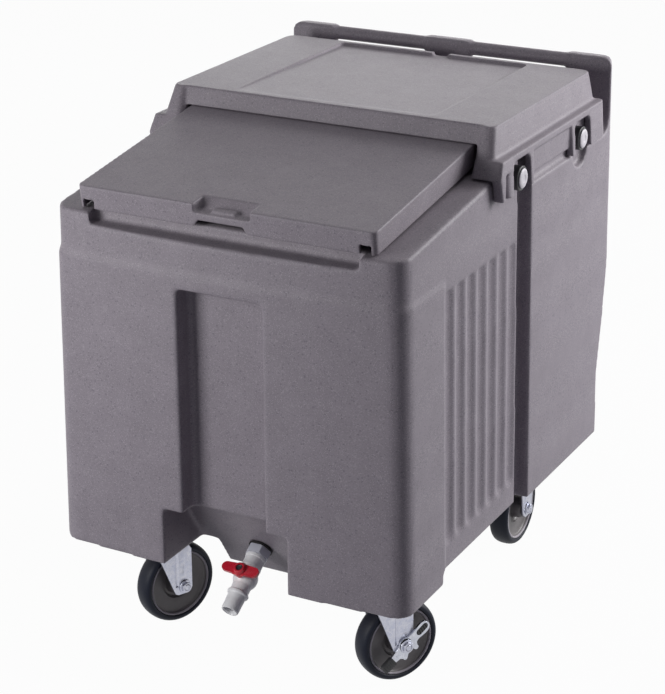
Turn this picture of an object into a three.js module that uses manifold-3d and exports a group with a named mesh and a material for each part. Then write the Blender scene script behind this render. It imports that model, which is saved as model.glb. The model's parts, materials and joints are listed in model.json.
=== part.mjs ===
// Mobile ice bin: a foam-filled plastic tub on four casters, with a lid that slides back under a hood
// and a valve that drains its sump. Millimetres, +Z up, the drain's side at -Y, the floor at Z = 0.
import * as THREE from "three";
import { mergeVertices } from "three/addons/utils/BufferGeometryUtils.js";
import Module from "manifold-3d";

const wasm = await Module();
wasm.setup();

// Clearance between touching pieces, and how far a cut runs past a face
const GAP = 0.3;
const OVERRUN = 4;
const WELD = 1e-4;
const DEG = Math.PI / 180;

// Casters
const WHEEL_DIAMETER = 127;
const CASTER_HEIGHT = 168;
const TYRE_WIDTH = 32;
const RIM_RADIUS = 52.5;
const SWIVEL_TRAIL = 40;
const FRONT_CASTER_X = 186;
const FRONT_CASTER_INSET = 99; // kingpin behind the front face
const REAR_CASTER_X = 183;
const REAR_CASTER_INSET = 129; // axle before the rear face
const RIGHT_SWIVEL_DEG = -32;
const LEFT_SWIVEL_DEG = -23;

// Caster pieces
const PLATE_THICKNESS = 4;
const PLATE_LENGTH = 92;
const PLATE_WIDTH = 78;
const PLATE_CORNER = 8;
const BOLT_RADIUS = 6.5;
const BOLT_HEAD = 5;
const BOLT_MARGIN = 12;
const RACE_RADIUS = 27;
const RACE_HEIGHT = 12;
const FORK_GAP = 46;
const FORK_THICKNESS = 3.5;
const FORK_TOP_HALF = 30;
const FORK_FOOT_RADIUS = 14;
const CROWN_DROP = 16;
const AXLE_RADIUS = 5;
const BUSH_RADIUS = 8;
const HUB_BOSS_RADIUS = 17;
const HUB_BOSS_HALF = 21;
const HUB_WEB_HALF = 4;
const HUB_RIM_WALL = 5;
const HUB_RIM_HALF = 13;
const TYRE_SHOULDER = 7;
const KINGPIN_RADIUS = 7;
const KINGPIN_HEAD = 5;
const KINGPIN_HEAD_RADIUS = 11;
const KINGPIN_COVER = 1; // metal over the kingpin's top
const NUT_FLATS = 15;
const NUT_THICKNESS = 6;

// Side brake
const LEVER_THICKNESS = 3.5;
const LEVER_REACH = 47;
const LEVER_HALF_WIDTH = 9;
const LEVER_TAIL_HALF = 6.3;
const LEVER_HUB_RADIUS = 13;
const LEVER_TILT_DEG = 38;
const LEVER_EYE_RADIUS = 5.5;
const LEVER_EYE_INSET = 12;
const PAD_REACH = 21;
const PAD_WALL = 2.5;

// Tub, seen in plan
const BODY_WIDTH = 584;
const BODY_DEPTH = 744;
const SIDE_DRAFT = 0.019; // how far a side leans in for each unit of height
const RIB_SETBACK = 10; // the ribbed side behind the rear section's side
const POST_SETBACK = 7.5; // the front post behind the rear section's side
const BAND_SETBACK = 2.5; // the upper band behind the front post
const BAND_CHAMFER = 9;
const FRONT_BOW = 8;
const FRONT_CORNER_RADIUS = 28;
const REAR_CORNER_RADIUS = 26;
const POST_DEPTH = 131; // front face to the ribbed side
const RIB_DEPTH = 255;
const GROOVE_WIDTH = 24;
const GROOVE_DEPTH = 13;
const REAR_TUCK = 52; // how far the rear face leans out from its foot to its top
const NECK_SETBACK = 7; // the tub's sides under the hood, behind those below it

// Tub, heights above the foot of its front legs
const LEG_STEP = 19.5;
const NOTCH_HEIGHT = 88;
const KINK_LOW_HEIGHT = 123;
const KINK_HIGH_HEIGHT = 376;
const RECESS_TOP_HEIGHT = 428.5;
const RIB_TOP_HEIGHT = 436.5;
const BAND_HEIGHT = 452;
const RIM_HEIGHT = 514;
const NECK_HEIGHT = 517.5; // where the tub steps in under the hood's skirt
const WALL_HEIGHT = 632;
const RIM_SLOPE = 0.12;

// Tub, front recess, notch and sump
const RECESS_WIDTH = 134;
const RECESS_DEPTH = 34;
const RECESS_CORNER = 10;
const NOTCH_WIDTH = 203;
const PANEL_TILT_DEG = 33;
const PANEL_FOOT_INSET = 142.2; // front face to the sloped panel's foot
const SUMP_WIDTH = 152;
const SUMP_DROP = 50; // below the legs' foot
const SUMP_LENGTH = 105;
const RIM_CUT_WIDTH = 420;
const RIM_CUT_DEPTH = 17;
const RIM_CUT_BACK = 30;

// Tub, walls and well
const SHELL_WALL = 5;
const WELL_HALF_WIDTH = 212;
const WELL_FRONT_WALL = 50;
const WELL_REAR_WALL = 96;
const WELL_CORNER_RADIUS = 34;
const WELL_DRAFT = 0.02;
const FLOOR_THICKNESS = 26;
const PANEL_THICKNESS = 46;
const SUMP_FLOOR_THICKNESS = 20;
const SUMP_WALL = 26;
const LANE_HALF_WIDTH = 238;
const LANE_HEIGHT = 549;

// Tub, flutes and handle wall
const FLUTE_COUNT = 7;
const FLUTE_DEPTH = 5;
const FLUTE_RADIUS = 26;
const FLUTE_FOOT = 24; // above the lower edge of the side
const FLUTE_END_MARGIN = 3;
const WALL_THICKNESS = 23;
const WALL_FILLET = 30;
const WALL_CORNER = 15;
const WALL_LUG_WIDTH = 76;
const GRIP_BAR_RADIUS = 11;
const GRIP_DROP = 1.5;
const GRIP_OPENING = 46;
const GRIP_CORNER = 10;
const PAD_LENGTH = 112;
const PAD_WIDTH = 96;

// Fill port under the tub
const PORT_RADIUS = 19;
const PORT_INSET = 250; // before the rear face
const PLUG_FLANGE = 3;

// Lid
const LID_HALF_WIDTH = 231;
const LID_FRONT_INSET = 14; // behind the tub's front face
const LID_LENGTH = 326;
const LID_FRONT_HEIGHT = 551; // its top edge, above the legs' foot
const LID_SLOPE_DEG = 7.65;
const LID_APRON = 34;
const LID_WALL = 5;
const LID_CORNER_RADIUS = 9;
const LID_NOTCH_X = 215;
const LID_NOTCH_WIDTH = 17;
const LID_NOTCH_HEIGHT = 14;
const GRIP_POCKET_WIDTH = 88;
const GRIP_POCKET_DEPTH = 30;
const GRIP_POCKET_SINK = 13;
const GRIP_BOSS_WIDTH = 36;
const GRIP_BOSS_HEIGHT = 5;

// Hood
const HOOD_FRONT_INSET = 323; // its top front edge, behind the tub's front face
const HOOD_LENGTH = 363;
const HOOD_TOP_HALF = 262;
const HOOD_BASE_HALF = 270; // half its roof's width at the ledge
const HOOD_LEDGE_HALF = 284;
const HOOD_SKIRT_HALF = 288;
const HOOD_SKIRT_PLAY = 0.8; // between the skirt and the tub's neck
const HOOD_TOP_HEIGHT = 620; // above the legs' foot
const HOOD_LEDGE_HEIGHT = 577;
const HOOD_FACE_HEIGHT = 592.4; // lower edge of its front face
const HOOD_SKIRT_FOOT = 520;
const HOOD_WALL = 6;
const HOOD_LEAN = 12;
const HOOD_REAR_LEAN = 4;
const HOOD_REAR_LEDGE = 1.5;
const HOOD_CORNER_RADIUS = 13;
const HOOD_PANEL_HALF = 162;
const HOOD_PANEL_MARGIN = 14;
const HOOD_PANEL_STEP = 0.6; // at the panel's front
const HOOD_PANEL_SINK = 5; // at its rear, which it slopes down to
const PANEL_SPOUT_WIDTH = 26; // where water runs off the panel's rear, right of the middle
const PANEL_SPOUT_X = 12;
const PANEL_CORNER = 10;

// Hood, the posts at its front corners and the horns below them
const POST_INNER = 239.5; // from the middle to a post's inner side
const POST_BASE_PROUD = 12; // a post's foot before the hood's face
const POST_TOP_PROUD = 4;
const POST_LENGTH = 34;
const POST_CORNER = 10;
const HORN_PROUD = 11; // a horn's upper edge before the hood's face
const HORN_BULGE = 13; // its front swells this much further, down to the rim
const HORN_INNER = 241;
const HORN_FOOT_PROUD = 16;
const HORN_CORNER = 3;
const HORN_LEDGE_CORNER = 14;
const SCOOP_RADIUS = 26;
const SCOOP_DEPTH = 12;
const SCOOP_TOP = 20;
const SCOOP_BEHIND = 27; // its middle, behind the horn's front

// Hood, the arches and panels in its skirt
const NOTCH_HALF = 30.5;
const NOTCH_CORNER = 12;
const NOTCH_TOP_HEIGHT = 567;
const SKIRT_CORNER = 10;
const SKIRT_LEG = 12;
const SKIRT_STEP = 11;
const PANEL_SINK = 7;
const PANEL_HEIGHT = 36;
const PANEL_EDGE = 2;

// Hood pins
const PIN_FRONT_INSET = 367; // behind the tub's front face
const PIN_SPACING = 230;
const PIN_HEIGHT = 537;
const PIN_HEAD_RADIUS = 16;
const PIN_HEAD_THICKNESS = 4.5;
const PIN_SHANK_RADIUS = 6;
const PIN_SHANK_LENGTH = 24;
const PIN_REACH = 290.6;
const SPACER_RADIUS = 18;
const POCKET_HALF = 28;
const POCKET_CORNER = 26;
const POCKET_DROP = 43; // its foot below the pin

// Drain
const DRAIN_HEIGHT = 5; // above the legs' foot, on the sloped panel
const TUBE_RADIUS = 13;
const TUBE_BORE = 9;
const TUBE_REACH = 32; // outside the panel
const INNER_FLANGE_RADIUS = 25;
const INNER_FLANGE_THICKNESS = 5;
const GASKET_RADIUS = 18.5;
const GASKET_THICKNESS = 4;
const LOCKNUT_FLATS = 33;
const LOCKNUT_THICKNESS = 13;
const VALVE_LENGTH = 62;
const SOCKET_RADIUS = 15.6;
const SOCKET_LENGTH = 21;
const VALVE_RADIUS = 12.8;
const VALVE_BALL_BULGE = 18.5;
const VALVE_NECK_WALL = 3;
const VALVE_NECK_RISE = 4; // above the bulge
const BALL_RADIUS = 12;
const BALL_PLAY = 1.2;
const BALL_BORE = 7;
const STEM_RADIUS = 5;
const STEM_SINK = 2; // the stem's foot above the ball's bore
const STEM_HEIGHT = 33;
const HANDLE_LENGTH = 60;
const HANDLE_WIDTH = 17;
const HANDLE_CORNER = 7.5;
const HANDLE_THICKNESS = 5;
const HANDLE_HUB_RADIUS = 8;
const NOZZLE_LENGTH = 32;
const NOZZLE_COLLAR_RADIUS = 16.5;
const NOZZLE_COLLAR_LENGTH = 7;
const NOZZLE_NECK_RADIUS = 12.5;
const NOZZLE_RADIUS = 13.8;
const NOZZLE_BORE = 9.5;

// Drain shelf
const SHELF_THICKNESS = 6;
const SHELF_CLEARANCE = 5;
const SHELF_HOLES_X = 5;
const SHELF_HOLES_Y = 4;
const SHELF_HOLE_RADIUS = 9;
const SHELF_FOOT = 8;
const SHELF_FRONT_MARGIN = 30;

// Places worked out from the sizes above
const WHEEL_RADIUS = WHEEL_DIAMETER / 2;
const LEG_Z = CASTER_HEIGHT;
const FRONT_Y = -BODY_DEPTH / 2;
const REAR_Y = BODY_DEPTH / 2;
const FOOT_Z = LEG_Z + LEG_STEP;
const TOP_Z = LEG_Z + WALL_HEIGHT;
const POST_Y = FRONT_Y + POST_DEPTH;
const GROOVE_Y = POST_Y + RIB_DEPTH;
const SECTION_Y = GROOVE_Y + GROOVE_WIDTH;
const WALL_Y = REAR_Y - WALL_THICKNESS;
const NOTCH_Z = LEG_Z + NOTCH_HEIGHT;
const SUMP_Z = LEG_Z - SUMP_DROP;
const FLOOR_Z = FOOT_Z + FLOOR_THICKNESS;
const NECK_Z = LEG_Z + NECK_HEIGHT;
const LEDGE_Z = LEG_Z + HOOD_LEDGE_HEIGHT;
const SHOULDER_Z = LEDGE_Z - HOOD_WALL - GAP;
const SKIRT_Z = LEG_Z + HOOD_SKIRT_FOOT;
const PANEL_LEAN = Math.tan(PANEL_TILT_DEG * DEG);
const PANEL_FOOT_Y = FRONT_Y + PANEL_FOOT_INSET;
const LID_FRONT_Y = FRONT_Y + LID_FRONT_INSET;
const HOOD_FRONT_Y = FRONT_Y + HOOD_FRONT_INSET;
const HOOD_REAR_Y = HOOD_FRONT_Y + HOOD_LENGTH;
const HOOD_FACE_Y = HOOD_FRONT_Y - HOOD_LEAN;
const SHOULDER_Y = HOOD_FACE_Y - GAP;
const SHOULDER_END_Y = HOOD_REAR_Y - HOOD_WALL - GAP;
const HORN_Y = HOOD_FACE_Y - HORN_PROUD;
const SKIRT_REAR_Y = HOOD_REAR_Y + HOOD_REAR_LEDGE;
const WELL_FRONT_Y = FRONT_Y + WELL_FRONT_WALL;
const WELL_REAR_Y = REAR_Y - WELL_REAR_WALL;

// Materials
function plastic(name, colour, roughness) {
  return new THREE.MeshStandardMaterial({ name, color: colour, roughness, metalness: 0 });
}
function metal(name, colour, roughness) {
  return new THREE.MeshStandardMaterial({ name, color: colour, roughness, metalness: 1 });
}
const granite = plastic("granite_plastic", 0x8a848b, 0.75);
const foam = plastic("insulation_foam", 0xe8dcae, 0.95);
const whitePlastic = plastic("white_plastic", 0xe9e7e0, 0.45);
const blackPlastic = plastic("black_plastic", 0x1b1b1e, 0.5);
const redPlastic = plastic("red_plastic", 0xb01e2e, 0.4);
const greyPlastic = plastic("pipe_grey_plastic", 0xa9adb3, 0.5);
const tyreRubber = plastic("tyre_rubber", 0x1f242b, 0.6);
const hubPlastic = plastic("hub_plastic", 0x5f5c5c, 0.55);
const gasketRubber = plastic("gasket_rubber", 0x141416, 0.8);
const zincSteel = metal("zinc_steel", 0xa9adb5, 0.35);
const chromeSteel = metal("chrome_steel", 0xd5d8dc, 0.12);

// Solids and meshes
function solidOf(geometry) {
  const bare = geometry.index ? geometry.toNonIndexed() : geometry.clone();
  bare.deleteAttribute("normal");
  bare.deleteAttribute("uv");
  const merged = mergeVertices(bare, WELD);
  return new wasm.Manifold(
    new wasm.Mesh({
      numProp: 3,
      vertProperties: merged.attributes.position.array,
      triVerts: new Uint32Array(merged.index.array),
    }),
  );
}

function geometryOf(solid) {
  const mesh = solid.getMesh();
  const points = new Float32Array(mesh.numVert * 3);
  for (let i = 0; i < mesh.numVert; i++) {
    const at = i * mesh.numProp;
    points.set(mesh.vertProperties.subarray(at, at + 3), i * 3);
  }
  const geometry = new THREE.BufferGeometry();
  geometry.setAttribute("position", new THREE.BufferAttribute(points, 3));
  geometry.setIndex(new THREE.BufferAttribute(mesh.triVerts, 1));
  const flat = geometry.toNonIndexed();
  flat.computeVertexNormals();
  return flat;
}

function joined(solids) {
  return solids.reduce((whole, next) => whole.add(next));
}

function piece(parent, name, solid, material) {
  const mesh = new THREE.Mesh(geometryOf(solid), material);
  mesh.name = name;
  parent.add(mesh);
  return mesh;
}

// Forms. A ring is a list of points that runs anticlockwise, seen from the end that the rings run to.
function loft(rings) {
  const count = rings[0].length;
  const points = rings.flat();
  const first = points.length;
  for (const ring of [rings[0], rings[rings.length - 1]]) {
    const middle = new THREE.Vector3();
    for (const point of ring) middle.add(point);
    points.push(middle.divideScalar(count));
  }
  const faces = [];
  for (let level = 0; level + 1 < rings.length; level++) {
    for (let i = 0; i < count; i++) {
      const a = level * count + i;
      const b = level * count + ((i + 1) % count);
      faces.push(a, b, b + count, a, b + count, a + count);
    }
  }
  const top = (rings.length - 1) * count;
  for (let i = 0; i < count; i++) {
    const next = (i + 1) % count;
    faces.push(first, next, i, first + 1, top + i, top + next);
  }
  const geometry = new THREE.BufferGeometry().setFromPoints(points);
  geometry.setIndex(faces);
  return solidOf(geometry);
}

function outline(points) {
  return new THREE.Shape(points.map(([u, v]) => new THREE.Vector2(u, v)));
}

function prism(shape, depth, segments = 6) {
  return new THREE.ExtrudeGeometry(shape, { depth, bevelEnabled: false, curveSegments: segments });
}

// A profile drawn in Y and Z, run along X from one place to another
function alongX(shape, fromX, toX, segments) {
  const geometry = prism(shape, toX - fromX, segments);
  const turn = new THREE.Matrix4().makeBasis(
    new THREE.Vector3(0, 1, 0),
    new THREE.Vector3(0, 0, 1),
    new THREE.Vector3(1, 0, 0),
  );
  geometry.applyMatrix4(turn);
  geometry.translate(fromX, 0, 0);
  return solidOf(geometry);
}

// A profile drawn in X and Z, run along Y
function alongY(shape, fromY, toY, segments) {
  const geometry = prism(shape, toY - fromY, segments);
  geometry.rotateX(Math.PI / 2);
  geometry.translate(0, toY, 0);
  return solidOf(geometry);
}

// A profile drawn in X and Y, run along Z
function alongZ(shape, fromZ, toZ, segments) {
  const geometry = prism(shape, toZ - fromZ, segments);
  geometry.translate(0, 0, fromZ);
  return solidOf(geometry);
}

function block(fromX, toX, fromY, toY, fromZ, toZ) {
  const geometry = new THREE.BoxGeometry(toX - fromX, toY - fromY, toZ - fromZ);
  geometry.translate((fromX + toX) / 2, (fromY + toY) / 2, (fromZ + toZ) / 2);
  return solidOf(geometry);
}

function bothSides(solidFor) {
  return solidFor(1).add(solidFor(-1));
}

// How many sides round forms have, by size
const WHEEL_SIDES = 20;
const ROUND_SIDES = 14;
const SMALL_SIDES = 10;

// A turned form on the Z axis, from pairs of radius and height that run up the outside and back
function turned(pairs, segments) {
  const profile = pairs.map(([radius, z]) => new THREE.Vector2(radius, z));
  const geometry = new THREE.LatheGeometry(profile, segments);
  geometry.rotateX(Math.PI / 2);
  return solidOf(geometry);
}

function rod(radius, fromZ, toZ, segments = SMALL_SIDES) {
  return turned([[0, fromZ], [radius, fromZ], [radius, toZ], [0, toZ]], segments);
}

function tube(radius, bore, fromZ, toZ, segments = ROUND_SIDES) {
  return turned([[bore, fromZ], [radius, fromZ], [radius, toZ], [bore, toZ], [bore, fromZ]], segments);
}

function hexagon(flats, fromZ, toZ) {
  return rod(flats / Math.sqrt(3), fromZ, toZ, 6);
}

function roundedRectangle(fromU, toU, fromV, toV, radius) {
  const shape = new THREE.Shape();
  shape.moveTo(fromU + radius, fromV);
  shape.lineTo(toU - radius, fromV);
  shape.absarc(toU - radius, fromV + radius, radius, -Math.PI / 2, 0, false);
  shape.lineTo(toU, toV - radius);
  shape.absarc(toU - radius, toV - radius, radius, 0, Math.PI / 2, false);
  shape.lineTo(fromU + radius, toV);
  shape.absarc(fromU + radius, toV - radius, radius, Math.PI / 2, Math.PI, false);
  shape.lineTo(fromU, fromV + radius);
  shape.absarc(fromU + radius, fromV + radius, radius, Math.PI, 1.5 * Math.PI, false);
  return shape;
}

// Tub
function rearHalf(z) {
  return BODY_WIDTH / 2 - SIDE_DRAFT * (z - FOOT_Z);
}

function ribHalf(z) {
  return rearHalf(z) - RIB_SETBACK;
}

function rimZ(y) {
  return LEG_Z + RIM_HEIGHT + RIM_SLOPE * (y - FRONT_Y);
}

function panelY(z) {
  return PANEL_FOOT_Y - PANEL_LEAN * (z - SUMP_Z);
}

function arcPoints(cx, cy, radius, fromDeg, toDeg, steps, z) {
  const points = [];
  for (let i = 0; i <= steps; i++) {
    const angle = (fromDeg + ((toDeg - fromDeg) * i) / steps) * DEG;
    points.push(new THREE.Vector3(cx + radius * Math.cos(angle), cy + radius * Math.sin(angle), z));
  }
  return points;
}

function roundRing(fromX, toX, fromY, toY, radius, z, steps = 3) {
  return [
    ...arcPoints(toX - radius, fromY + radius, radius, -90, 0, steps, z),
    ...arcPoints(toX - radius, toY - radius, radius, 0, 90, steps, z),
    ...arcPoints(fromX + radius, toY - radius, radius, 90, 180, steps, z),
    ...arcPoints(fromX + radius, fromY + radius, radius, 180, 270, steps, z),
  ];
}

// The front post in plan: a bowed front between two round corners
function postRing(z, inset, steps) {
  const half = rearHalf(z) - POST_SETBACK - inset;
  const radius = FRONT_CORNER_RADIUS;
  const front = FRONT_Y + inset;
  const ring = [];
  for (let i = 1; i < steps; i++) {
    const share = (2 * i) / steps - 1;
    const bow = FRONT_BOW * share * share;
    ring.push(new THREE.Vector3(share * (half - radius), front + bow, z));
  }
  const cornerY = front + FRONT_BOW + radius;
  ring.push(...arcPoints(half - radius, cornerY, radius, -90, 0, steps, z));
  ring.push(new THREE.Vector3(half, POST_Y + OVERRUN, z));
  ring.push(new THREE.Vector3(-half, POST_Y + OVERRUN, z));
  ring.push(...arcPoints(-half + radius, cornerY, radius, 180, 270, steps, z));
  return ring;
}

function postSolid(inset, steps) {
  const bandZ = LEG_Z + BAND_HEIGHT;
  const levels = [
    [LEG_Z - OVERRUN, inset],
    [bandZ - BAND_CHAMFER / 2, inset],
    [bandZ + BAND_CHAMFER / 2, inset + BAND_SETBACK],
    [TOP_Z + OVERRUN, inset + BAND_SETBACK],
  ];
  return loft(levels.map(([z, by]) => postRing(z, by, steps)));
}

function slab(halfAt, fromY, toY) {
  const rings = [SUMP_Z - OVERRUN, TOP_Z + OVERRUN].map((z) => [
    new THREE.Vector3(-halfAt(z), fromY, z),
    new THREE.Vector3(halfAt(z), fromY, z),
    new THREE.Vector3(halfAt(z), toY, z),
    new THREE.Vector3(-halfAt(z), toY, z),
  ]);
  return loft(rings);
}

function rearRing(z, inset, steps) {
  const half = rearHalf(z) - inset;
  const radius = REAR_CORNER_RADIUS;
  const rear = REAR_Y - inset;
  return [
    new THREE.Vector3(-half, SECTION_Y + inset, z),
    new THREE.Vector3(half, SECTION_Y + inset, z),
    ...arcPoints(half - radius, rear - radius, radius, 0, 90, steps, z),
    ...arcPoints(-half + radius, rear - radius, radius, 90, 180, steps, z),
  ];
}

// The whole plan of the tub, drafted, with its posts, ribbed sides, grooves and wider rear section
function planSolid(inset, ribInset, steps) {
  const coreHalf = (z) => ribHalf(z) - GROOVE_DEPTH - inset;
  const core = slab(coreHalf, POST_Y - OVERRUN, SECTION_Y + REAR_CORNER_RADIUS);
  const ribbed = slab((z) => ribHalf(z) - ribInset, POST_Y, GROOVE_Y - inset);
  const rear = loft([SUMP_Z - OVERRUN, TOP_Z + OVERRUN].map((z) => rearRing(z, inset, steps)));
  return joined([postSolid(inset, steps), core, ribbed, rear]).subtract(neckCut(inset));
}

// Above the neck the rear section's sides step in, and the hood's skirt hangs beside them
function neckHalf(z) {
  return rearHalf(z) - NECK_SETBACK;
}

function neckCut(inset) {
  const from = GROOVE_Y - inset;
  const to = SKIRT_REAR_Y + GAP + inset;
  const high = SHOULDER_Z + OVERRUN;
  const beside = block(-BODY_WIDTH, BODY_WIDTH, from, to, NECK_Z - inset, high);
  return beside.subtract(slab((z) => neckHalf(z) - inset, from - OVERRUN, to + OVERRUN));
}

// The tub's side view. An inset moves each edge inwards.
function sideShape(inset) {
  const low = inset;
  const wallY = WALL_Y + inset;
  const rearRimZ = NECK_Z - inset;
  const shoulderZ = SHOULDER_Z - inset;
  const shape = outline([
    [FRONT_Y - OVERRUN, LEG_Z + low],
    [POST_Y - inset, LEG_Z + low],
    [POST_Y - inset, FOOT_Z + low],
    [REAR_Y - REAR_TUCK - inset, FOOT_Z + low],
    [REAR_Y - REAR_TUCK - inset, LEG_Z + KINK_LOW_HEIGHT],
    [REAR_Y + (inset ? -inset : OVERRUN), LEG_Z + KINK_HIGH_HEIGHT],
    [REAR_Y + (inset ? -inset : OVERRUN), TOP_Z - inset],
    [wallY, TOP_Z - inset],
    [wallY, rearRimZ + WALL_FILLET],
  ]);
  shape.absarc(wallY - WALL_FILLET, rearRimZ + WALL_FILLET, WALL_FILLET, 0, -Math.PI / 2, true);
  shape.lineTo(SHOULDER_END_Y - inset, rearRimZ);
  shape.lineTo(SHOULDER_END_Y - inset, shoulderZ);
  shape.lineTo(SHOULDER_Y + inset, shoulderZ);
  shape.lineTo(SHOULDER_Y + inset, rimZ(SHOULDER_Y) - inset);
  shape.lineTo(FRONT_Y - OVERRUN, rimZ(FRONT_Y - OVERRUN) - inset);
  return shape;
}

// The rear face leans out above its foot: this slab trims the plan to that line
function rearTrim(inset) {
  const y = REAR_Y - inset;
  const shape = outline([
    [FRONT_Y - BODY_DEPTH, SUMP_Z - OVERRUN],
    [y - REAR_TUCK, SUMP_Z - OVERRUN],
    [y - REAR_TUCK, LEG_Z + KINK_LOW_HEIGHT],
    [y, LEG_Z + KINK_HIGH_HEIGHT],
    [y, TOP_Z + OVERRUN],
    [FRONT_Y - BODY_DEPTH, TOP_Z + OVERRUN],
  ]);
  return alongX(shape, -BODY_WIDTH, BODY_WIDTH);
}

// The sump hangs below the tub behind the sloped panel
function sumpShape(inset) {
  const foot = panelY(SUMP_Z) + inset;
  const high = FOOT_Z + FLOOR_THICKNESS;
  const rear = PANEL_FOOT_Y + SUMP_LENGTH - inset;
  return outline([
    [foot, SUMP_Z + inset],
    [rear, SUMP_Z + inset],
    [rear + SUMP_DROP + LEG_STEP, FOOT_Z + inset],
    [rear + SUMP_DROP + LEG_STEP, high],
    [panelY(high) + inset, high],
  ]);
}

function sump(inset) {
  const half = SUMP_WIDTH / 2 - inset;
  return alongX(sumpShape(inset), -half, half);
}

// Padding over each rear caster brings its plate down to the front ones' height
function casterPads(inset) {
  const y = REAR_Y - REAR_CASTER_INSET;
  return bothSides((side) =>
    block(
      side * REAR_CASTER_X - PAD_WIDTH / 2 + inset,
      side * REAR_CASTER_X + PAD_WIDTH / 2 - inset,
      y - PAD_LENGTH / 2 + inset,
      y + PAD_LENGTH / 2 - inset,
      LEG_Z + inset,
      FOOT_Z + FLOOR_THICKNESS / 2,
    ),
  );
}

function frontRecess(grow) {
  const half = RECESS_WIDTH / 2 + grow;
  const floor = FRONT_Y + RECESS_DEPTH + grow;
  const top = LEG_Z + RECESS_TOP_HEIGHT + grow;
  const shape = new THREE.Shape();
  shape.moveTo(-half, FRONT_Y - OVERRUN);
  shape.lineTo(half, FRONT_Y - OVERRUN);
  shape.absarc(half - RECESS_CORNER, floor - RECESS_CORNER, RECESS_CORNER, 0, Math.PI / 2, false);
  shape.absarc(-half + RECESS_CORNER, floor - RECESS_CORNER, RECESS_CORNER, Math.PI / 2, Math.PI, false);
  return alongZ(shape, SUMP_Z, top, 3);
}

// The arch between the front legs, with the sloped drain panel as its rear wall
function frontNotch(grow) {
  const half = NOTCH_WIDTH / 2 + grow;
  const top = NOTCH_Z + grow;
  const shape = outline([
    [FRONT_Y - OVERRUN, SUMP_Z - OVERRUN],
    [panelY(SUMP_Z - OVERRUN) + grow, SUMP_Z - OVERRUN],
    [panelY(top) + grow, top],
    [FRONT_Y - OVERRUN, top],
  ]);
  return alongX(shape, -half, half);
}

// One flute of the ribbed side: a round channel whose foot rises out of the wall
function flute(side, y) {
  const foot = FOOT_Z + FLUTE_FOOT;
  const top = LEG_Z + RIB_TOP_HEIGHT;
  const levels = [];
  const shares = [0.35, 0.7, 1];
  for (const share of shares) {
    const z = foot + FLUTE_RADIUS * share;
    levels.push([z, FLUTE_RADIUS * Math.sqrt(1 - (1 - share) ** 2)]);
  }
  levels.push([top, FLUTE_RADIUS]);
  const steps = 20;
  const rings = levels.map(([z, radius]) => {
    const x = side * (ribHalf(z) + FLUTE_RADIUS - FLUTE_DEPTH);
    return arcPoints(x, y, radius, 0, 360 - 360 / steps, steps - 1, z);
  });
  return loft(rings);
}

function flutes() {
  const pitch = (RIB_DEPTH - 2 * FLUTE_END_MARGIN) / FLUTE_COUNT;
  const cuts = [];
  for (const side of [1, -1]) {
    for (let i = 0; i < FLUTE_COUNT; i++) {
      cuts.push(flute(side, POST_Y + FLUTE_END_MARGIN + pitch * (i + 0.5)));
    }
  }
  return joined(cuts);
}

function rimCut() {
  const half = RIM_CUT_WIDTH / 2;
  const y = FRONT_Y + RIM_CUT_BACK;
  const shape = outline([
    [FRONT_Y - OVERRUN, rimZ(FRONT_Y) - RIM_CUT_DEPTH],
    [y, rimZ(y) - RIM_CUT_DEPTH],
    [y, TOP_Z],
    [FRONT_Y - OVERRUN, TOP_Z],
  ]);
  return alongX(shape, -half, half);
}

// The lane that the lid runs in, between the shoulders under the hood
function lidLane(grow) {
  const half = LANE_HALF_WIDTH + grow;
  return block(
    -half,
    half,
    SHOULDER_Y - OVERRUN,
    SHOULDER_END_Y + OVERRUN,
    LEG_Z + LANE_HEIGHT - grow,
    TOP_Z,
  );
}

// The handle wall's upper corners are round, seen from behind
function wallCorners() {
  const half = rearHalf(TOP_Z);
  return bothSides((side) => {
    const middle = half - WALL_CORNER;
    const outside = side > 0 ? 0 : Math.PI;
    const low = TOP_Z - WALL_CORNER;
    const shape = new THREE.Shape();
    shape.moveTo(side * middle, TOP_Z + OVERRUN);
    shape.lineTo(side * middle, TOP_Z);
    shape.absarc(side * middle, low, WALL_CORNER, Math.PI / 2, outside, side > 0);
    shape.lineTo(side * BODY_WIDTH, low);
    shape.lineTo(side * BODY_WIDTH, TOP_Z + OVERRUN);
    return alongY(shape, WALL_Y - OVERRUN, REAR_Y + OVERRUN, 5);
  });
}

// Two hand holds through the rear wall leave a round bar above each
function gripHoles(grow) {
  const inner = WALL_LUG_WIDTH / 2;
  const outer = rearHalf(TOP_Z) - WALL_LUG_WIDTH;
  const barZ = TOP_Z - GRIP_DROP - GRIP_BAR_RADIUS;
  const low = barZ - GRIP_BAR_RADIUS - GRIP_OPENING;
  return bothSides((side) => {
    const from = side > 0 ? inner : -outer;
    const to = side > 0 ? outer : -inner;
    const high = TOP_Z + GRIP_CORNER + OVERRUN;
    const hole = roundedRectangle(from - grow, to + grow, low - grow, high, GRIP_CORNER);
    return alongY(hole, WALL_Y - OVERRUN, REAR_Y + OVERRUN, 3);
  });
}

function gripBars() {
  const inner = WALL_LUG_WIDTH / 2 - OVERRUN;
  const outer = rearHalf(TOP_Z) - WALL_LUG_WIDTH + OVERRUN;
  const barZ = TOP_Z - GRIP_DROP - GRIP_BAR_RADIUS;
  return bothSides((side) => {
    const shape = new THREE.Shape();
    shape.absarc((WALL_Y + REAR_Y) / 2, barZ, GRIP_BAR_RADIUS, 0, 2 * Math.PI, false);
    return side > 0 ? alongX(shape, inner, outer, 14) : alongX(shape, -outer, -inner, 14);
  });
}

function pinPlaces() {
  const first = FRONT_Y + PIN_FRONT_INSET;
  return [first, first + PIN_SPACING];
}

function pinSeatX() {
  return ribHalf(LEG_Z + PIN_HEIGHT);
}

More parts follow.
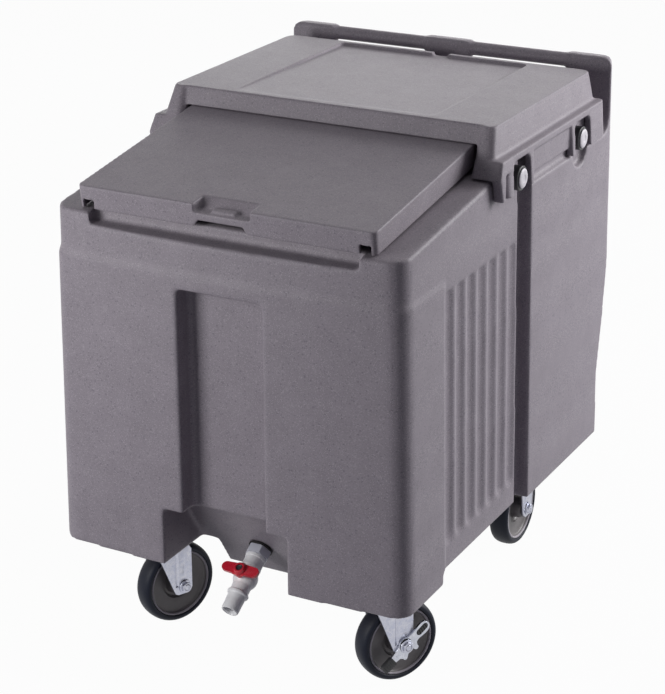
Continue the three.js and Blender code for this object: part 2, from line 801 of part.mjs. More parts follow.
// A cylinder that points out of the tub's side, between two distances from the middle
function sideRod(side, y, z, radius, fromX, toX, segments = 20) {
  const solid = rod(radius, fromX, toX, segments);
  const geometry = geometryOf(solid);
  geometry.rotateY((side * Math.PI) / 2);
  geometry.translate(0, y, z);
  return solidOf(geometry);
}

// A pocket with a round foot in the tub's side takes each spacer
function pinPocket(side, y, fromX, grow) {
  const half = POCKET_HALF + grow;
  const middle = LEG_Z + PIN_HEIGHT;
  const drop = POCKET_DROP + grow;
  const shape = roundedRectangle(y - half, y + half, middle - drop, middle + drop, POCKET_CORNER);
  const from = side > 0 ? fromX : -BODY_WIDTH;
  return alongX(shape, from, from + BODY_WIDTH - fromX, 4);
}

function pinCuts() {
  const seat = pinSeatX();
  const z = LEG_Z + PIN_HEIGHT;
  const cuts = [];
  for (const side of [1, -1]) {
    for (const y of pinPlaces()) {
      const deep = seat - PIN_SHANK_LENGTH - GAP;
      cuts.push(sideRod(side, y, z, PIN_SHANK_RADIUS + GAP, deep, seat + RIB_SETBACK));
      cuts.push(pinPocket(side, y, seat, 0));
    }
  }
  return joined(cuts);
}

// The ice compartment. It grows by the wall that surrounds it.
function wellShape(grow) {
  const inY = PANEL_THICKNESS / Math.cos(PANEL_TILT_DEG * DEG) - grow;
  const floorZ = FLOOR_Z - grow;
  const front = WELL_FRONT_Y - grow;
  const bendZ = SUMP_Z + (PANEL_FOOT_Y + inY - front) / PANEL_LEAN;
  return outline([
    [front, TOP_Z + BODY_DEPTH],
    [front, bendZ],
    [panelY(floorZ) + inY, floorZ],
    [WELL_REAR_Y + grow, floorZ],
    [WELL_REAR_Y + grow, TOP_Z + BODY_DEPTH],
  ]);
}

function wellPlan(grow, steps) {
  const ringAt = (z) => {
    const half = WELL_HALF_WIDTH + grow + WELL_DRAFT * (z - FLOOR_Z - (RIM_HEIGHT - LEG_STEP));
    const front = WELL_FRONT_Y - grow;
    return roundRing(-half, half, front, WELL_REAR_Y + grow, WELL_CORNER_RADIUS, z, steps);
  };
  return loft([SUMP_Z - OVERRUN, TOP_Z + OVERRUN].map(ringAt));
}

function wellSump(grow) {
  const inY = PANEL_THICKNESS / Math.cos(PANEL_TILT_DEG * DEG) - grow;
  const low = SUMP_Z + SUMP_FLOOR_THICKNESS - grow;
  const high = FLOOR_Z + OVERRUN;
  const rear = PANEL_FOOT_Y + SUMP_LENGTH - SUMP_WALL + grow;
  const half = SUMP_WIDTH / 2 - SUMP_WALL + grow;
  const shape = outline([
    [panelY(low) + inY, low],
    [rear, low],
    [rear + SUMP_DROP, high],
    [panelY(high) + inY, high],
  ]);
  return alongX(shape, -half, half);
}

function well(grow, steps) {
  const wide = wellPlan(grow, steps).intersect(alongX(wellShape(grow), -BODY_WIDTH, BODY_WIDTH));
  return wide.add(wellSump(grow));
}

// A rod on the drain's axis. Distances run outwards from the sloped panel.
function onDrain(geometry) {
  const z = LEG_Z + DRAIN_HEIGHT;
  geometry.rotateX(Math.PI / 2 + PANEL_TILT_DEG * DEG);
  geometry.translate(0, panelY(z), z);
  return geometry;
}

function drainSolid(solid) {
  return solidOf(onDrain(geometryOf(solid)));
}

function outerForm(inset, ribInset, steps) {
  const plan = planSolid(inset, ribInset, steps).intersect(rearTrim(inset));
  const sided = plan.intersect(alongX(sideShape(inset), -BODY_WIDTH, BODY_WIDTH, 5));
  return sided.add(sump(inset)).add(casterPads(inset));
}

function cavity(inset) {
  const ribInset = inset + FLUTE_DEPTH;
  let solid = outerForm(inset, ribInset, 3);
  solid = solid.subtract(frontRecess(inset)).subtract(frontNotch(inset));
  solid = solid.subtract(lidLane(inset)).subtract(gripHoles(inset));
  solid = solid.subtract(well(inset, 3));
  const high = LEG_Z + RIM_HEIGHT - RIM_CUT_DEPTH - inset;
  const side = BODY_WIDTH;
  const frontTop = block(-side, side, FRONT_Y - OVERRUN, FRONT_Y + WELL_FRONT_WALL, high, TOP_Z);
  const seat = pinSeatX() - PIN_SHANK_LENGTH - inset;
  const pinBosses = pinPlaces().map((y) => bothSides((end) => pinPocket(end, y, seat, inset)));
  solid = solid.subtract(frontTop).subtract(joined(pinBosses));
  return solid.subtract(rearWallCut(inset));
}

// The handle wall is solid plastic above the rear rim
function rearWallCut(inset) {
  const low = NECK_Z - inset;
  return block(-BODY_WIDTH, BODY_WIDTH, SHOULDER_END_Y - OVERRUN, REAR_Y + OVERRUN, low, TOP_Z + OVERRUN);
}

function portPlace() {
  return [0, REAR_Y - PORT_INSET];
}

function tubShell() {
  let solid = outerForm(0, 0, 5).subtract(wallCorners());
  solid = solid.subtract(frontRecess(0)).subtract(frontNotch(0));
  solid = solid.subtract(lidLane(0)).subtract(gripHoles(0)).add(gripBars());
  solid = solid.subtract(flutes()).subtract(pinCuts()).subtract(rimCut());
  solid = solid.subtract(well(0, 4));
  solid = solid.subtract(cavity(SHELL_WALL));
  const [portX, portY] = portPlace();
  const port = rod(PORT_RADIUS, FOOT_Z - OVERRUN, FOOT_Z + SHELL_WALL + OVERRUN);
  solid = solid.subtract(port.translate([portX, portY, 0]));
  return solid.subtract(drainHole());
}

function drainHole() {
  return drainSolid(rod(TUBE_RADIUS + GAP, -PANEL_THICKNESS - OVERRUN, OVERRUN, ROUND_SIDES));
}

function foamCore() {
  const parts = cavity(SHELL_WALL + GAP).subtract(drainHole()).decompose();
  return parts.reduce((most, next) => (next.volume() > most.volume() ? next : most));
}

function fillPlug() {
  const [x, y] = portPlace();
  const low = FOOT_Z - PLUG_FLANGE - GAP;
  const flange = rod(PORT_RADIUS + PLUG_FLANGE, low, FOOT_Z - GAP);
  const stem = rod(PORT_RADIUS - GAP, FOOT_Z - PLUG_FLANGE, FOOT_Z + SHELL_WALL);
  return flange.add(stem).translate([x, y, 0]);
}

// Hood. Its roof leans in on all sides above a ledge.
function hoodRing(z, inset) {
  const share = (z - LEDGE_Z) / (HOOD_TOP_HEIGHT - HOOD_LEDGE_HEIGHT);
  const half = HOOD_BASE_HALF - share * (HOOD_BASE_HALF - HOOD_TOP_HALF) - inset;
  const front = HOOD_FACE_Y + share * HOOD_LEAN + inset;
  const rear = HOOD_REAR_Y - share * HOOD_REAR_LEAN - inset;
  return roundRing(-half, half, front, rear, HOOD_CORNER_RADIUS, z);
}

function hoodRoof() {
  return loft([LEDGE_Z - HOOD_WALL, LEG_Z + HOOD_TOP_HEIGHT].map((z) => hoodRing(z, 0)));
}

// Room for the lid's lane and the tub's shoulders, open at the front and below
function hoodHollow() {
  const ceiling = LEG_Z + HOOD_TOP_HEIGHT - HOOD_PANEL_SINK - HOOD_WALL;
  const room = loft([LEDGE_Z - 2 * HOOD_WALL, ceiling].map((z) => hoodRing(z, HOOD_WALL)));
  const front = HORN_Y - HORN_BULGE - OVERRUN;
  const rear = HOOD_REAR_Y - HOOD_WALL;
  const low = SKIRT_Z - OVERRUN;
  const sides = slab((z) => neckHalf(z) + HOOD_SKIRT_PLAY, front, rear).intersect(
    block(-BODY_WIDTH, BODY_WIDTH, front, rear, low, LEDGE_Z - HOOD_WALL),
  );
  const lane = LANE_HALF_WIDTH;
  const mouth = block(-lane, lane, front, HOOD_FRONT_Y + HOOD_WALL, low, LEG_Z + HOOD_FACE_HEIGHT);
  return joined([room, sides, mouth]);
}

// The skirt leans out a little from the ledge to its foot
function hoodSkirt() {
  const front = HORN_Y + HORN_LEDGE_CORNER;
  const ring = (half, z) => roundRing(-half, half, front, SKIRT_REAR_Y, SKIRT_CORNER, z);
  return loft([ring(HOOD_SKIRT_HALF, SKIRT_Z), ring(HOOD_LEDGE_HALF, LEDGE_Z)]);
}

// A post at each front corner stands before the hood's face and leans back with it
function hoodPost() {
  const high = LEG_Z + HOOD_TOP_HEIGHT;
  const foot = HOOD_FACE_Y - POST_BASE_PROUD;
  const head = HOOD_FRONT_Y - POST_TOP_PROUD;
  const low = LEDGE_Z - HOOD_WALL / 2;
  return loft([
    roundRing(POST_INNER, HOOD_BASE_HALF, foot, foot + POST_LENGTH, POST_CORNER, low, 4),
    roundRing(POST_INNER, HOOD_TOP_HALF, head, head + POST_LENGTH, POST_CORNER, high, 4),
  ]);
}

// A horn below each post swells over the tub's rim, and runs down its side to a foot
function hoodHorn() {
  const rear = pinPlaces()[0] - NOTCH_HALF;
  const rim = rimZ(SHOULDER_Y) + GAP;
  const inner = ribHalf(SKIRT_Z) + GAP;
  const over = loft([
    roundRing(HORN_INNER, HOOD_SKIRT_HALF, HORN_Y - HORN_BULGE, SHOULDER_Y - GAP, HORN_CORNER, rim),
    roundRing(HORN_INNER, HOOD_LEDGE_HALF, HORN_Y, SHOULDER_Y - GAP, HORN_CORNER, LEDGE_Z),
  ]);
  const foot = HOOD_FACE_Y - HORN_FOOT_PROUD;
  const beside = loft([
    roundRing(inner, HOOD_SKIRT_HALF, foot, rear, HORN_CORNER, SKIRT_Z),
    roundRing(inner, HOOD_SKIRT_HALF, HORN_Y - HORN_BULGE, rear, HORN_CORNER, rim),
    roundRing(inner, HOOD_LEDGE_HALF, HORN_Y, rear, HORN_CORNER, LEDGE_Z),
  ]);
  const scoop = rod(SCOOP_RADIUS, SKIRT_Z - OVERRUN, LEDGE_Z - SCOOP_TOP, WHEEL_SIDES);
  const scoopX = HOOD_SKIRT_HALF + SCOOP_RADIUS - SCOOP_DEPTH;
  return over.add(beside).subtract(scoop.translate([scoopX, HORN_Y + SCOOP_BEHIND, 0]));
}

// An arch in the skirt round each pin, with round upper corners
function skirtNotch(side, y) {
  const half = NOTCH_HALF;
  const low = SKIRT_Z - OVERRUN - NOTCH_CORNER;
  const high = LEG_Z + NOTCH_TOP_HEIGHT;
  const shape = roundedRectangle(y - half, y + half, low, high, NOTCH_CORNER);
  const inner = pinSeatX();
  const from = side > 0 ? inner : -HOOD_SKIRT_HALF - OVERRUN;
  return alongX(shape, from, from + HOOD_SKIRT_HALF - inner + OVERRUN, 4);
}

// Between the arches the skirt ends higher, and its face is set back in a deep panel
function skirtPanel(side) {
  const [first, last] = pinPlaces();
  const fromY = first + NOTCH_HALF + SKIRT_LEG;
  const toY = last - NOTCH_HALF - SKIRT_LEG;
  const outer = HOOD_SKIRT_HALF;
  const inner = neckHalf(LEDGE_Z);
  const from = side > 0 ? inner : -outer - OVERRUN;
  const low = SKIRT_Z - SKIRT_CORNER * 2;
  const edge = roundedRectangle(fromY, toY, low, SKIRT_Z + SKIRT_STEP, PANEL_EDGE);
  const faceFrom = side > 0 ? outer - PANEL_SINK : -outer - OVERRUN;
  const high = SKIRT_Z + SKIRT_STEP + PANEL_HEIGHT;
  const face = roundedRectangle(fromY, toY, low, high, PANEL_EDGE);
  const sunk = alongX(face, faceFrom, faceFrom + PANEL_SINK + OVERRUN, 2);
  return alongX(edge, from, from + outer - inner + OVERRUN, 2).add(sunk);
}

// The panel in the roof slopes down to its rear, where a spout lets water run off
function hoodPanel() {
  const high = LEG_Z + HOOD_TOP_HEIGHT;
  const half = HOOD_PANEL_HALF;
  const front = HOOD_FRONT_Y + HOOD_PANEL_MARGIN;
  const rear = HOOD_REAR_Y - HOOD_PANEL_MARGIN;
  const end = HOOD_REAR_Y + OVERRUN;
  const fall = (HOOD_PANEL_SINK - HOOD_PANEL_STEP) / (rear - front);
  const floorAt = (y) => high - HOOD_PANEL_STEP - fall * (y - front);
  const low = floorAt(end) - OVERRUN;
  const panel = alongZ(roundedRectangle(-half, half, front, rear, PANEL_CORNER), low, TOP_Z, 4);
  const spoutFrom = PANEL_SPOUT_X - PANEL_SPOUT_WIDTH / 2;
  const spout = block(spoutFrom, spoutFrom + PANEL_SPOUT_WIDTH, rear - PANEL_CORNER, end, low, TOP_Z);
  const from = front - OVERRUN;
  const sloped = outline([[from, floorAt(from)], [end, floorAt(end)], [end, TOP_Z], [from, TOP_Z]]);
  return panel.add(spout).intersect(alongX(sloped, -half - OVERRUN, half + OVERRUN));
}

function hood() {
  const posts = hoodPost().add(hoodPost().mirror([1, 0, 0]));
  let solid = hoodRoof().subtract(hoodPanel()).add(posts);
  solid = solid.add(hoodSkirt()).subtract(hoodHollow());
  solid = solid.add(hoodHorn()).add(hoodHorn().mirror([1, 0, 0]));
  for (const side of [1, -1]) {
    for (const y of pinPlaces()) solid = solid.subtract(skirtNotch(side, y));
    solid = solid.subtract(skirtPanel(side));
  }
  return solid;
}

// Hood pins and their spacers, drawn outwards along Z and laid on their side
function pinSolid() {
  const seat = pinSeatX();
  const headFrom = PIN_REACH - PIN_HEAD_THICKNESS;
  return turned(
    [
      [0, seat - PIN_SHANK_LENGTH],
      [PIN_SHANK_RADIUS, seat - PIN_SHANK_LENGTH],
      [PIN_SHANK_RADIUS, headFrom],
      [PIN_HEAD_RADIUS, headFrom],
      [PIN_HEAD_RADIUS, headFrom + PIN_HEAD_THICKNESS / 2],
      [PIN_HEAD_RADIUS - PIN_HEAD_THICKNESS / 2, PIN_REACH],
      [0, PIN_REACH],
    ],
    ROUND_SIDES,
  );
}

function spacerSolid() {
  const to = PIN_REACH - PIN_HEAD_THICKNESS - GAP;
  return tube(SPACER_RADIUS, PIN_SHANK_RADIUS + GAP, pinSeatX() + GAP, to, ROUND_SIDES);
}

function addPins(parent) {
  const places = pinPlaces();
  for (const [sideName, side] of [["right", 1], ["left", -1]]) {
    places.forEach((y, i) => {
      const spot = new THREE.Group();
      spot.position.set(0, y, LEG_Z + PIN_HEIGHT);
      spot.rotation.y = (side * Math.PI) / 2;
      const end = i ? "rear" : "front";
      piece(spot, "hood_pin_" + sideName + "_" + end, pinSolid(), whitePlastic);
      piece(spot, "hood_pin_spacer_" + sideName + "_" + end, spacerSolid(), blackPlastic);
      parent.add(spot);
    });
  }
}

// Lid, drawn level with its top at Z = 0 and its front edge at Y = 0
function lidPlan(inset) {
  const half = LID_HALF_WIDTH - inset;
  return roundedRectangle(-half, half, inset, LID_LENGTH - inset, LID_CORNER_RADIUS - inset / 2);
}

function lidSolid() {
  let solid = alongZ(lidPlan(0), -LID_APRON, 0, 4);
  solid = solid.subtract(alongZ(lidPlan(LID_WALL), -LID_APRON - OVERRUN, -LID_WALL, 4));
  solid = solid.add(gripBacking()).subtract(gripPocket()).add(gripBoss());
  for (const side of [1, -1]) {
    const x = side * LID_NOTCH_X;
    const low = -LID_APRON - OVERRUN;
    const half = LID_NOTCH_WIDTH / 2;
    const high = -LID_APRON + LID_NOTCH_HEIGHT;
    solid = solid.subtract(block(x - half, x + half, -OVERRUN, LID_WALL + OVERRUN, low, high));
    const rear = LID_LENGTH - LID_WALL - OVERRUN;
    solid = solid.subtract(block(x - half, x + half, rear, LID_LENGTH + OVERRUN, low, high));
  }
  return solid;
}

function pocketShape(drop) {
  const depth = GRIP_POCKET_DEPTH + drop;
  const sink = GRIP_POCKET_SINK + drop;
  return outline([
    [-OVERRUN, -sink],
    [depth / 2, -sink],
    [depth, drop ? -LID_WALL / 2 : 0],
    [depth, drop ? -LID_WALL / 2 : OVERRUN],
    [-OVERRUN, drop ? -LID_WALL / 2 : OVERRUN],
  ]);
}

function gripPocket() {
  const half = GRIP_POCKET_WIDTH / 2;
  return alongX(pocketShape(0), -half, half);
}

function gripBacking() {
  const half = GRIP_POCKET_WIDTH / 2 + LID_WALL;
  const solid = alongX(pocketShape(LID_WALL), -half, half);
  const front = block(-LID_HALF_WIDTH, LID_HALF_WIDTH, -2 * OVERRUN, LID_WALL / 2, -LID_APRON, OVERRUN);
  return solid.subtract(front);
}

function gripBoss() {
  const half = GRIP_BOSS_WIDTH / 2;
  const from = GRIP_POCKET_DEPTH / 6;
  const to = GRIP_POCKET_DEPTH / 2;
  const low = -GRIP_POCKET_SINK - LID_WALL / 2;
  return block(-half, half, from, to, low, -GRIP_POCKET_SINK + GRIP_BOSS_HEIGHT);
}

function addLid(parent) {
  const spot = new THREE.Group();
  spot.position.set(0, LID_FRONT_Y, LEG_Z + LID_FRONT_HEIGHT);
  spot.rotation.x = LID_SLOPE_DEG * DEG;
  piece(spot, "sliding_lid", lidSolid(), granite);
  parent.add(spot);
}

// Drain, drawn on the Z axis with the sloped panel at 0 and outwards as +Z
function addDrain(parent) {
  const spot = new THREE.Group();
  const z = LEG_Z + DRAIN_HEIGHT;
  spot.position.set(0, panelY(z), z);
  spot.rotation.x = Math.PI / 2 + PANEL_TILT_DEG * DEG;
  const inside = -PANEL_THICKNESS - GAP;
  const valveFrom = GASKET_THICKNESS + LOCKNUT_THICKNESS + 3 * GAP;
  const valveTo = valveFrom + VALVE_LENGTH;
  const ballZ = (TUBE_REACH + valveTo) / 2;
  piece(spot, "drain_tube", drainTube(inside), greyPlastic);
  const gasketTo = GASKET_THICKNESS + GAP;
  piece(spot, "drain_gasket", tube(GASKET_RADIUS, TUBE_RADIUS + GAP, GAP, gasketTo), gasketRubber);
  piece(spot, "drain_locknut", locknut(gasketTo + GAP), greyPlastic);
  piece(spot, "valve_body", valveBody(valveFrom, valveTo, ballZ), whitePlastic);
  piece(spot, "valve_ball", valveBall(ballZ), whitePlastic);
  piece(spot, "valve_handle", valveHandle(ballZ), redPlastic);
  piece(spot, "hose_nozzle", hoseNozzle(valveTo), whitePlastic);
  parent.add(spot);
}

function drainTube(inside) {
  return turned(
    [
      [TUBE_BORE, inside - INNER_FLANGE_THICKNESS],
      [INNER_FLANGE_RADIUS, inside - INNER_FLANGE_THICKNESS],
      [INNER_FLANGE_RADIUS, inside],
      [TUBE_RADIUS, inside],
      [TUBE_RADIUS, TUBE_REACH],
      [TUBE_BORE, TUBE_REACH],
      [TUBE_BORE, inside - INNER_FLANGE_THICKNESS],
    ],
    ROUND_SIDES,
  );
}

function locknut(from) {
  const to = from + LOCKNUT_THICKNESS;
  const bore = rod(TUBE_RADIUS + GAP, from - OVERRUN, to + OVERRUN, ROUND_SIDES);
  return hexagon(LOCKNUT_FLATS, from, to).subtract(bore);
}

function ballForm(ballZ, radius) {
  const steps = 6;
  const pairs = [];
  for (let i = 0; i <= steps; i++) {
    const angle = (Math.PI * i) / steps;
    pairs.push([i % steps ? radius * Math.sin(angle) : 0, ballZ - radius * Math.cos(angle)]);
  }
  return turned(pairs, ROUND_SIDES);
}

// The stem's side of the valve is its local +Y, which points up
function upRod(radius, ballZ, from, to, segments = SMALL_SIDES) {
  const geometry = geometryOf(rod(radius, from, to, segments));
  geometry.rotateX(-Math.PI / 2);
  geometry.translate(0, 0, ballZ);
  return solidOf(geometry);
}

function valveBody(from, to, ballZ) {
  const socket = rod(SOCKET_RADIUS, from, from + SOCKET_LENGTH, ROUND_SIDES);
  const barrel = socket.add(rod(VALVE_RADIUS, from, to, ROUND_SIDES));
  const bulge = ballForm(ballZ, VALVE_BALL_BULGE);
  const neck = upRod(STEM_RADIUS + VALVE_NECK_WALL, ballZ, 0, VALVE_BALL_BULGE + VALVE_NECK_RISE);
  let solid = barrel.add(bulge).add(neck);
  solid = solid.subtract(rod(TUBE_RADIUS + GAP, from - OVERRUN, TUBE_REACH + GAP, ROUND_SIDES));
  solid = solid.subtract(rod(BALL_BORE, 0, to + OVERRUN, ROUND_SIDES));
  solid = solid.subtract(ballForm(ballZ, BALL_RADIUS + BALL_PLAY));
  return solid.subtract(upRod(STEM_RADIUS + GAP, ballZ, 0, STEM_HEIGHT));
}

function valveBall(ballZ) {
  const ball = ballForm(ballZ, BALL_RADIUS);
  const geometry = geometryOf(rod(BALL_BORE, -BALL_RADIUS * 2, BALL_RADIUS * 2, ROUND_SIDES));
  geometry.rotateY(Math.PI / 2);
  geometry.translate(0, 0, ballZ);
  const bored = ball.subtract(solidOf(geometry));
  return bored.add(upRod(STEM_RADIUS, ballZ, BALL_BORE + STEM_SINK, STEM_HEIGHT));
}

function valveHandle(ballZ) {
  const half = HANDLE_LENGTH / 2;
  const low = VALVE_BALL_BULGE + VALVE_NECK_RISE + GAP;
  const wing = roundedRectangle(-half, half, -HANDLE_WIDTH / 2, HANDLE_WIDTH / 2, HANDLE_CORNER);
  let solid = alongZ(wing, low, low + HANDLE_THICKNESS, 5);
  solid = solid.add(rod(HANDLE_HUB_RADIUS, low, low + HANDLE_THICKNESS * 2));
  solid = solid.subtract(rod(STEM_RADIUS + GAP, low - OVERRUN, STEM_HEIGHT + GAP));
  const geometry = geometryOf(solid);
  geometry.rotateX(-Math.PI / 2);
  geometry.translate(0, 0, ballZ);
  return solidOf(geometry);
}

function hoseNozzle(valveTo) {
  const from = valveTo + GAP;
  const to = from + NOZZLE_LENGTH;
  return turned(
    [
      [NOZZLE_BORE, from],
      [NOZZLE_COLLAR_RADIUS, from],
      [NOZZLE_COLLAR_RADIUS, from + NOZZLE_COLLAR_LENGTH],
      [NOZZLE_NECK_RADIUS, from + 2 * NOZZLE_COLLAR_LENGTH],
      [NOZZLE_RADIUS, to],
      [NOZZLE_BORE, to],
      [NOZZLE_BORE, from],
    ],
    ROUND_SIDES,
  );
}

// Drain shelf: a perforated tray over the sump
function drainShelf() {
  const half = WELL_HALF_WIDTH - WELL_DRAFT * (RIM_HEIGHT - LEG_STEP) - SHELF_CLEARANCE;
  const low = FLOOR_Z + GAP + SHELF_FOOT;
  const high = low + SHELF_THICKNESS;
  const front = panelY(FLOOR_Z) + PANEL_THICKNESS / Math.cos(PANEL_TILT_DEG * DEG) + SHELF_CLEARANCE;
  const rear = WELL_REAR_Y - SHELF_CLEARANCE;
  const plan = roundedRectangle(-half, half, front, rear, WELL_CORNER_RADIUS - SHELF_CLEARANCE);
  let solid = alongZ(plan, low, high, 4);
  const stepX = (2 * half) / SHELF_HOLES_X;
  const stepY = (rear - front) / SHELF_HOLES_Y;
  for (let i = 0; i < SHELF_HOLES_X; i++) {
    for (let j = 0; j < SHELF_HOLES_Y; j++) {
      const hole = rod(SHELF_HOLE_RADIUS, low - OVERRUN, high + OVERRUN, 6);
      const x = -half + stepX * (i + 0.5);
      solid = solid.subtract(hole.translate([x, front + stepY * (j + 0.5), 0]));
    }
  }
  const foot = SHELF_FRONT_MARGIN / 2;
  for (const x of [-half + SHELF_FRONT_MARGIN, half - SHELF_FRONT_MARGIN]) {
    for (const y of [front + SHELF_FRONT_MARGIN, rear - SHELF_FRONT_MARGIN]) {
      solid = solid.add(block(x - foot, x + foot, y - foot, y + foot, FLOOR_Z + GAP, low + GAP));
    }
  }
  return solid;
}

// Casters
// Wheel pieces, drawn on the Z axis and centred on it
function tyreSolid() {
  const half = TYRE_WIDTH / 2;
  const outer = WHEEL_RADIUS;
  const soft = TYRE_SHOULDER;
  return turned(
    [
      [RIM_RADIUS + GAP, -half],
      [outer - soft, -half],
      [outer, -half + soft],
      [outer, half - soft],
      [outer - soft, half],
      [RIM_RADIUS + GAP, half],
      [RIM_RADIUS + GAP, -half],
    ],
    WHEEL_SIDES,
  );
}

function hubSolid() {
  const rim = RIM_RADIUS - HUB_RIM_WALL;
  const bore = BUSH_RADIUS + GAP;
  return turned(
    [
      [bore, -HUB_BOSS_HALF],
      [HUB_BOSS_RADIUS, -HUB_BOSS_HALF],
      [HUB_BOSS_RADIUS, -HUB_WEB_HALF * 2],
      [rim, -HUB_WEB_HALF],
      [RIM_RADIUS, -HUB_RIM_HALF],
      [RIM_RADIUS, HUB_RIM_HALF],
      [rim, HUB_WEB_HALF],
      [HUB_BOSS_RADIUS, HUB_WEB_HALF * 2],
      [HUB_BOSS_RADIUS, HUB_BOSS_HALF],
      [bore, HUB_BOSS_HALF],
      [bore, -HUB_BOSS_HALF],
    ],
    WHEEL_SIDES,
  );
}

function bushSolid() {
  const half = FORK_GAP / 2 - GAP;
  return tube(BUSH_RADIUS, AXLE_RADIUS + GAP, -half, half);
}

function axleSolid(extra) {
  const outside = FORK_GAP / 2 + FORK_THICKNESS + GAP;
  const shank = rod(AXLE_RADIUS, -outside, outside + extra + NUT_THICKNESS + GAP);
  return shank.add(hexagon(NUT_FLATS, -outside - NUT_THICKNESS, -outside));
}

function nutSolid(lift) {
  const from = FORK_GAP / 2 + FORK_THICKNESS + GAP + lift;
  const nut = hexagon(NUT_FLATS, from, from + NUT_THICKNESS);
  return nut.subtract(rod(AXLE_RADIUS + GAP, from - OVERRUN, from + NUT_THICKNESS + OVERRUN));
}

// One leg of the fork, drawn in the wheel's plane: X along the tread, Y up from the axle
function legShape(topHalf, rise, lean) {
  const foot = FORK_FOOT_RADIUS;
  const shape = new THREE.Shape();
  shape.moveTo(lean - topHalf, rise);
  shape.lineTo(-foot, 0);
  shape.absarc(0, 0, foot, Math.PI, 2 * Math.PI, false);
  shape.lineTo(lean + topHalf, rise);
  const hole = new THREE.Path();
  hole.absarc(0, 0, AXLE_RADIUS + GAP, 0, 2 * Math.PI, true);
  shape.holes.push(hole);
  return shape;
}

// The fork in the caster's frame: wheel axle along X at height WHEEL_RADIUS and at the trail along Y
function forkSolid(trail, crownZ) {
  const rise = crownZ - WHEEL_RADIUS;
  const inner = FORK_GAP / 2;
  const legs = bothSides((side) => {
    const from = side > 0 ? inner : -inner - FORK_THICKNESS;
    const geometry = prism(legShape(FORK_TOP_HALF, rise, -trail), FORK_THICKNESS, 8);
    const turn = new THREE.Matrix4().makeBasis(
      new THREE.Vector3(0, 1, 0),
      new THREE.Vector3(0, 0, 1),
      new THREE.Vector3(1, 0, 0),
    );
    geometry.applyMatrix4(turn);
    geometry.translate(from, trail, WHEEL_RADIUS);
    return solidOf(geometry);
  });
  const half = inner + FORK_THICKNESS;
  const crown = block(-half, half, -FORK_TOP_HALF, FORK_TOP_HALF, crownZ - FORK_THICKNESS, crownZ);
  return legs.add(crown);
}

function platePlan() {
  const half = PLATE_WIDTH / 2;
  return roundedRectangle(-half, half, -PLATE_LENGTH / 2, PLATE_LENGTH / 2, PLATE_CORNER);
}

function plateSolid() {
  const top = CASTER_HEIGHT - GAP;
  const low = top - PLATE_THICKNESS;
  let solid = alongZ(platePlan(), low, top, 3);
  for (const x of [-PLATE_WIDTH / 2 + BOLT_MARGIN, PLATE_WIDTH / 2 - BOLT_MARGIN]) {
    for (const y of [-PLATE_LENGTH / 2 + BOLT_MARGIN, PLATE_LENGTH / 2 - BOLT_MARGIN]) {
      const head = rod(BOLT_RADIUS, low - BOLT_HEAD, low + GAP, 6);
      solid = solid.add(head.translate([x, y, 0]));
    }
  }
  return solid;
}

function swivelPlate() {
  const low = CASTER_HEIGHT - GAP - PLATE_THICKNESS;
  const race = rod(RACE_RADIUS, low - RACE_HEIGHT, low + GAP, ROUND_SIDES);
  const high = CASTER_HEIGHT - GAP - KINGPIN_COVER;
  const bore = rod(KINGPIN_RADIUS + GAP, low - RACE_HEIGHT - OVERRUN, high, ROUND_SIDES);
  return plateSolid().add(race).subtract(bore);
}

function crownHeight() {
  return CASTER_HEIGHT - PLATE_THICKNESS - RACE_HEIGHT - 2 * GAP;
}

function swivelFork() {
  const crownZ = crownHeight();
  const bore = rod(KINGPIN_RADIUS + GAP, crownZ - CROWN_DROP, crownZ + OVERRUN, ROUND_SIDES);
  return forkSolid(SWIVEL_TRAIL, crownZ).subtract(bore);
}

function kingpin() {
  const crownZ = crownHeight();
  const low = crownZ - FORK_THICKNESS - GAP;
  const shank = rod(KINGPIN_RADIUS, low - GAP, CASTER_HEIGHT - KINGPIN_COVER - 2 * GAP);
  return shank.add(rod(KINGPIN_HEAD_RADIUS, low - KINGPIN_HEAD, low));
}

function rigidFork() {
  const crownZ = CASTER_HEIGHT - PLATE_THICKNESS - GAP;
  return forkSolid(0, crownZ + GAP).add(plateSolid());
}

function laidOnAxle(parent, trail) {
  const spot = new THREE.Group();
  spot.position.set(0, trail, WHEEL_RADIUS);
  spot.rotation.y = Math.PI / 2;
  parent.add(spot);
  return spot;
}

function addWheel(parent, name, trail, nutLift) {
  const spot = laidOnAxle(parent, trail);
  piece(spot, name + "_tyre", tyreSolid(), tyreRubber);
  piece(spot, name + "_hub", hubSolid(), hubPlastic);
  piece(spot, name + "_bush", bushSolid(), zincSteel);
  piece(spot, name + "_axle", axleSolid(nutLift), zincSteel);
  piece(spot, name + "_nut", nutSolid(nutLift), zincSteel);
  return spot;
}

function addSwivelCaster(parent, name, x, turnDeg, nutLift) {
  const spot = new THREE.Group();
  spot.position.set(x, FRONT_Y + FRONT_CASTER_INSET, 0);
  parent.add(spot);
  piece(spot, name + "_plate", swivelPlate(), zincSteel);
  piece(spot, name + "_kingpin", kingpin(), zincSteel);
  const swivel = new THREE.Group();
  swivel.rotation.z = turnDeg * DEG;
  spot.add(swivel);
  piece(swivel, name + "_fork", swivelFork(), zincSteel);
  return addWheel(swivel, name, SWIVEL_TRAIL, nutLift);
}

function addRigidCaster(parent, name, x) {
  const spot = new THREE.Group();
  spot.position.set(x, REAR_Y - REAR_CASTER_INSET, 0);
  parent.add(spot);
  piece(spot, name + "_fork", rigidFork(), zincSteel);
  addWheel(spot, name, 0, 0);
}

// Side brake: a lever that rocks on the axle outside the fork, with a black pad on its front end

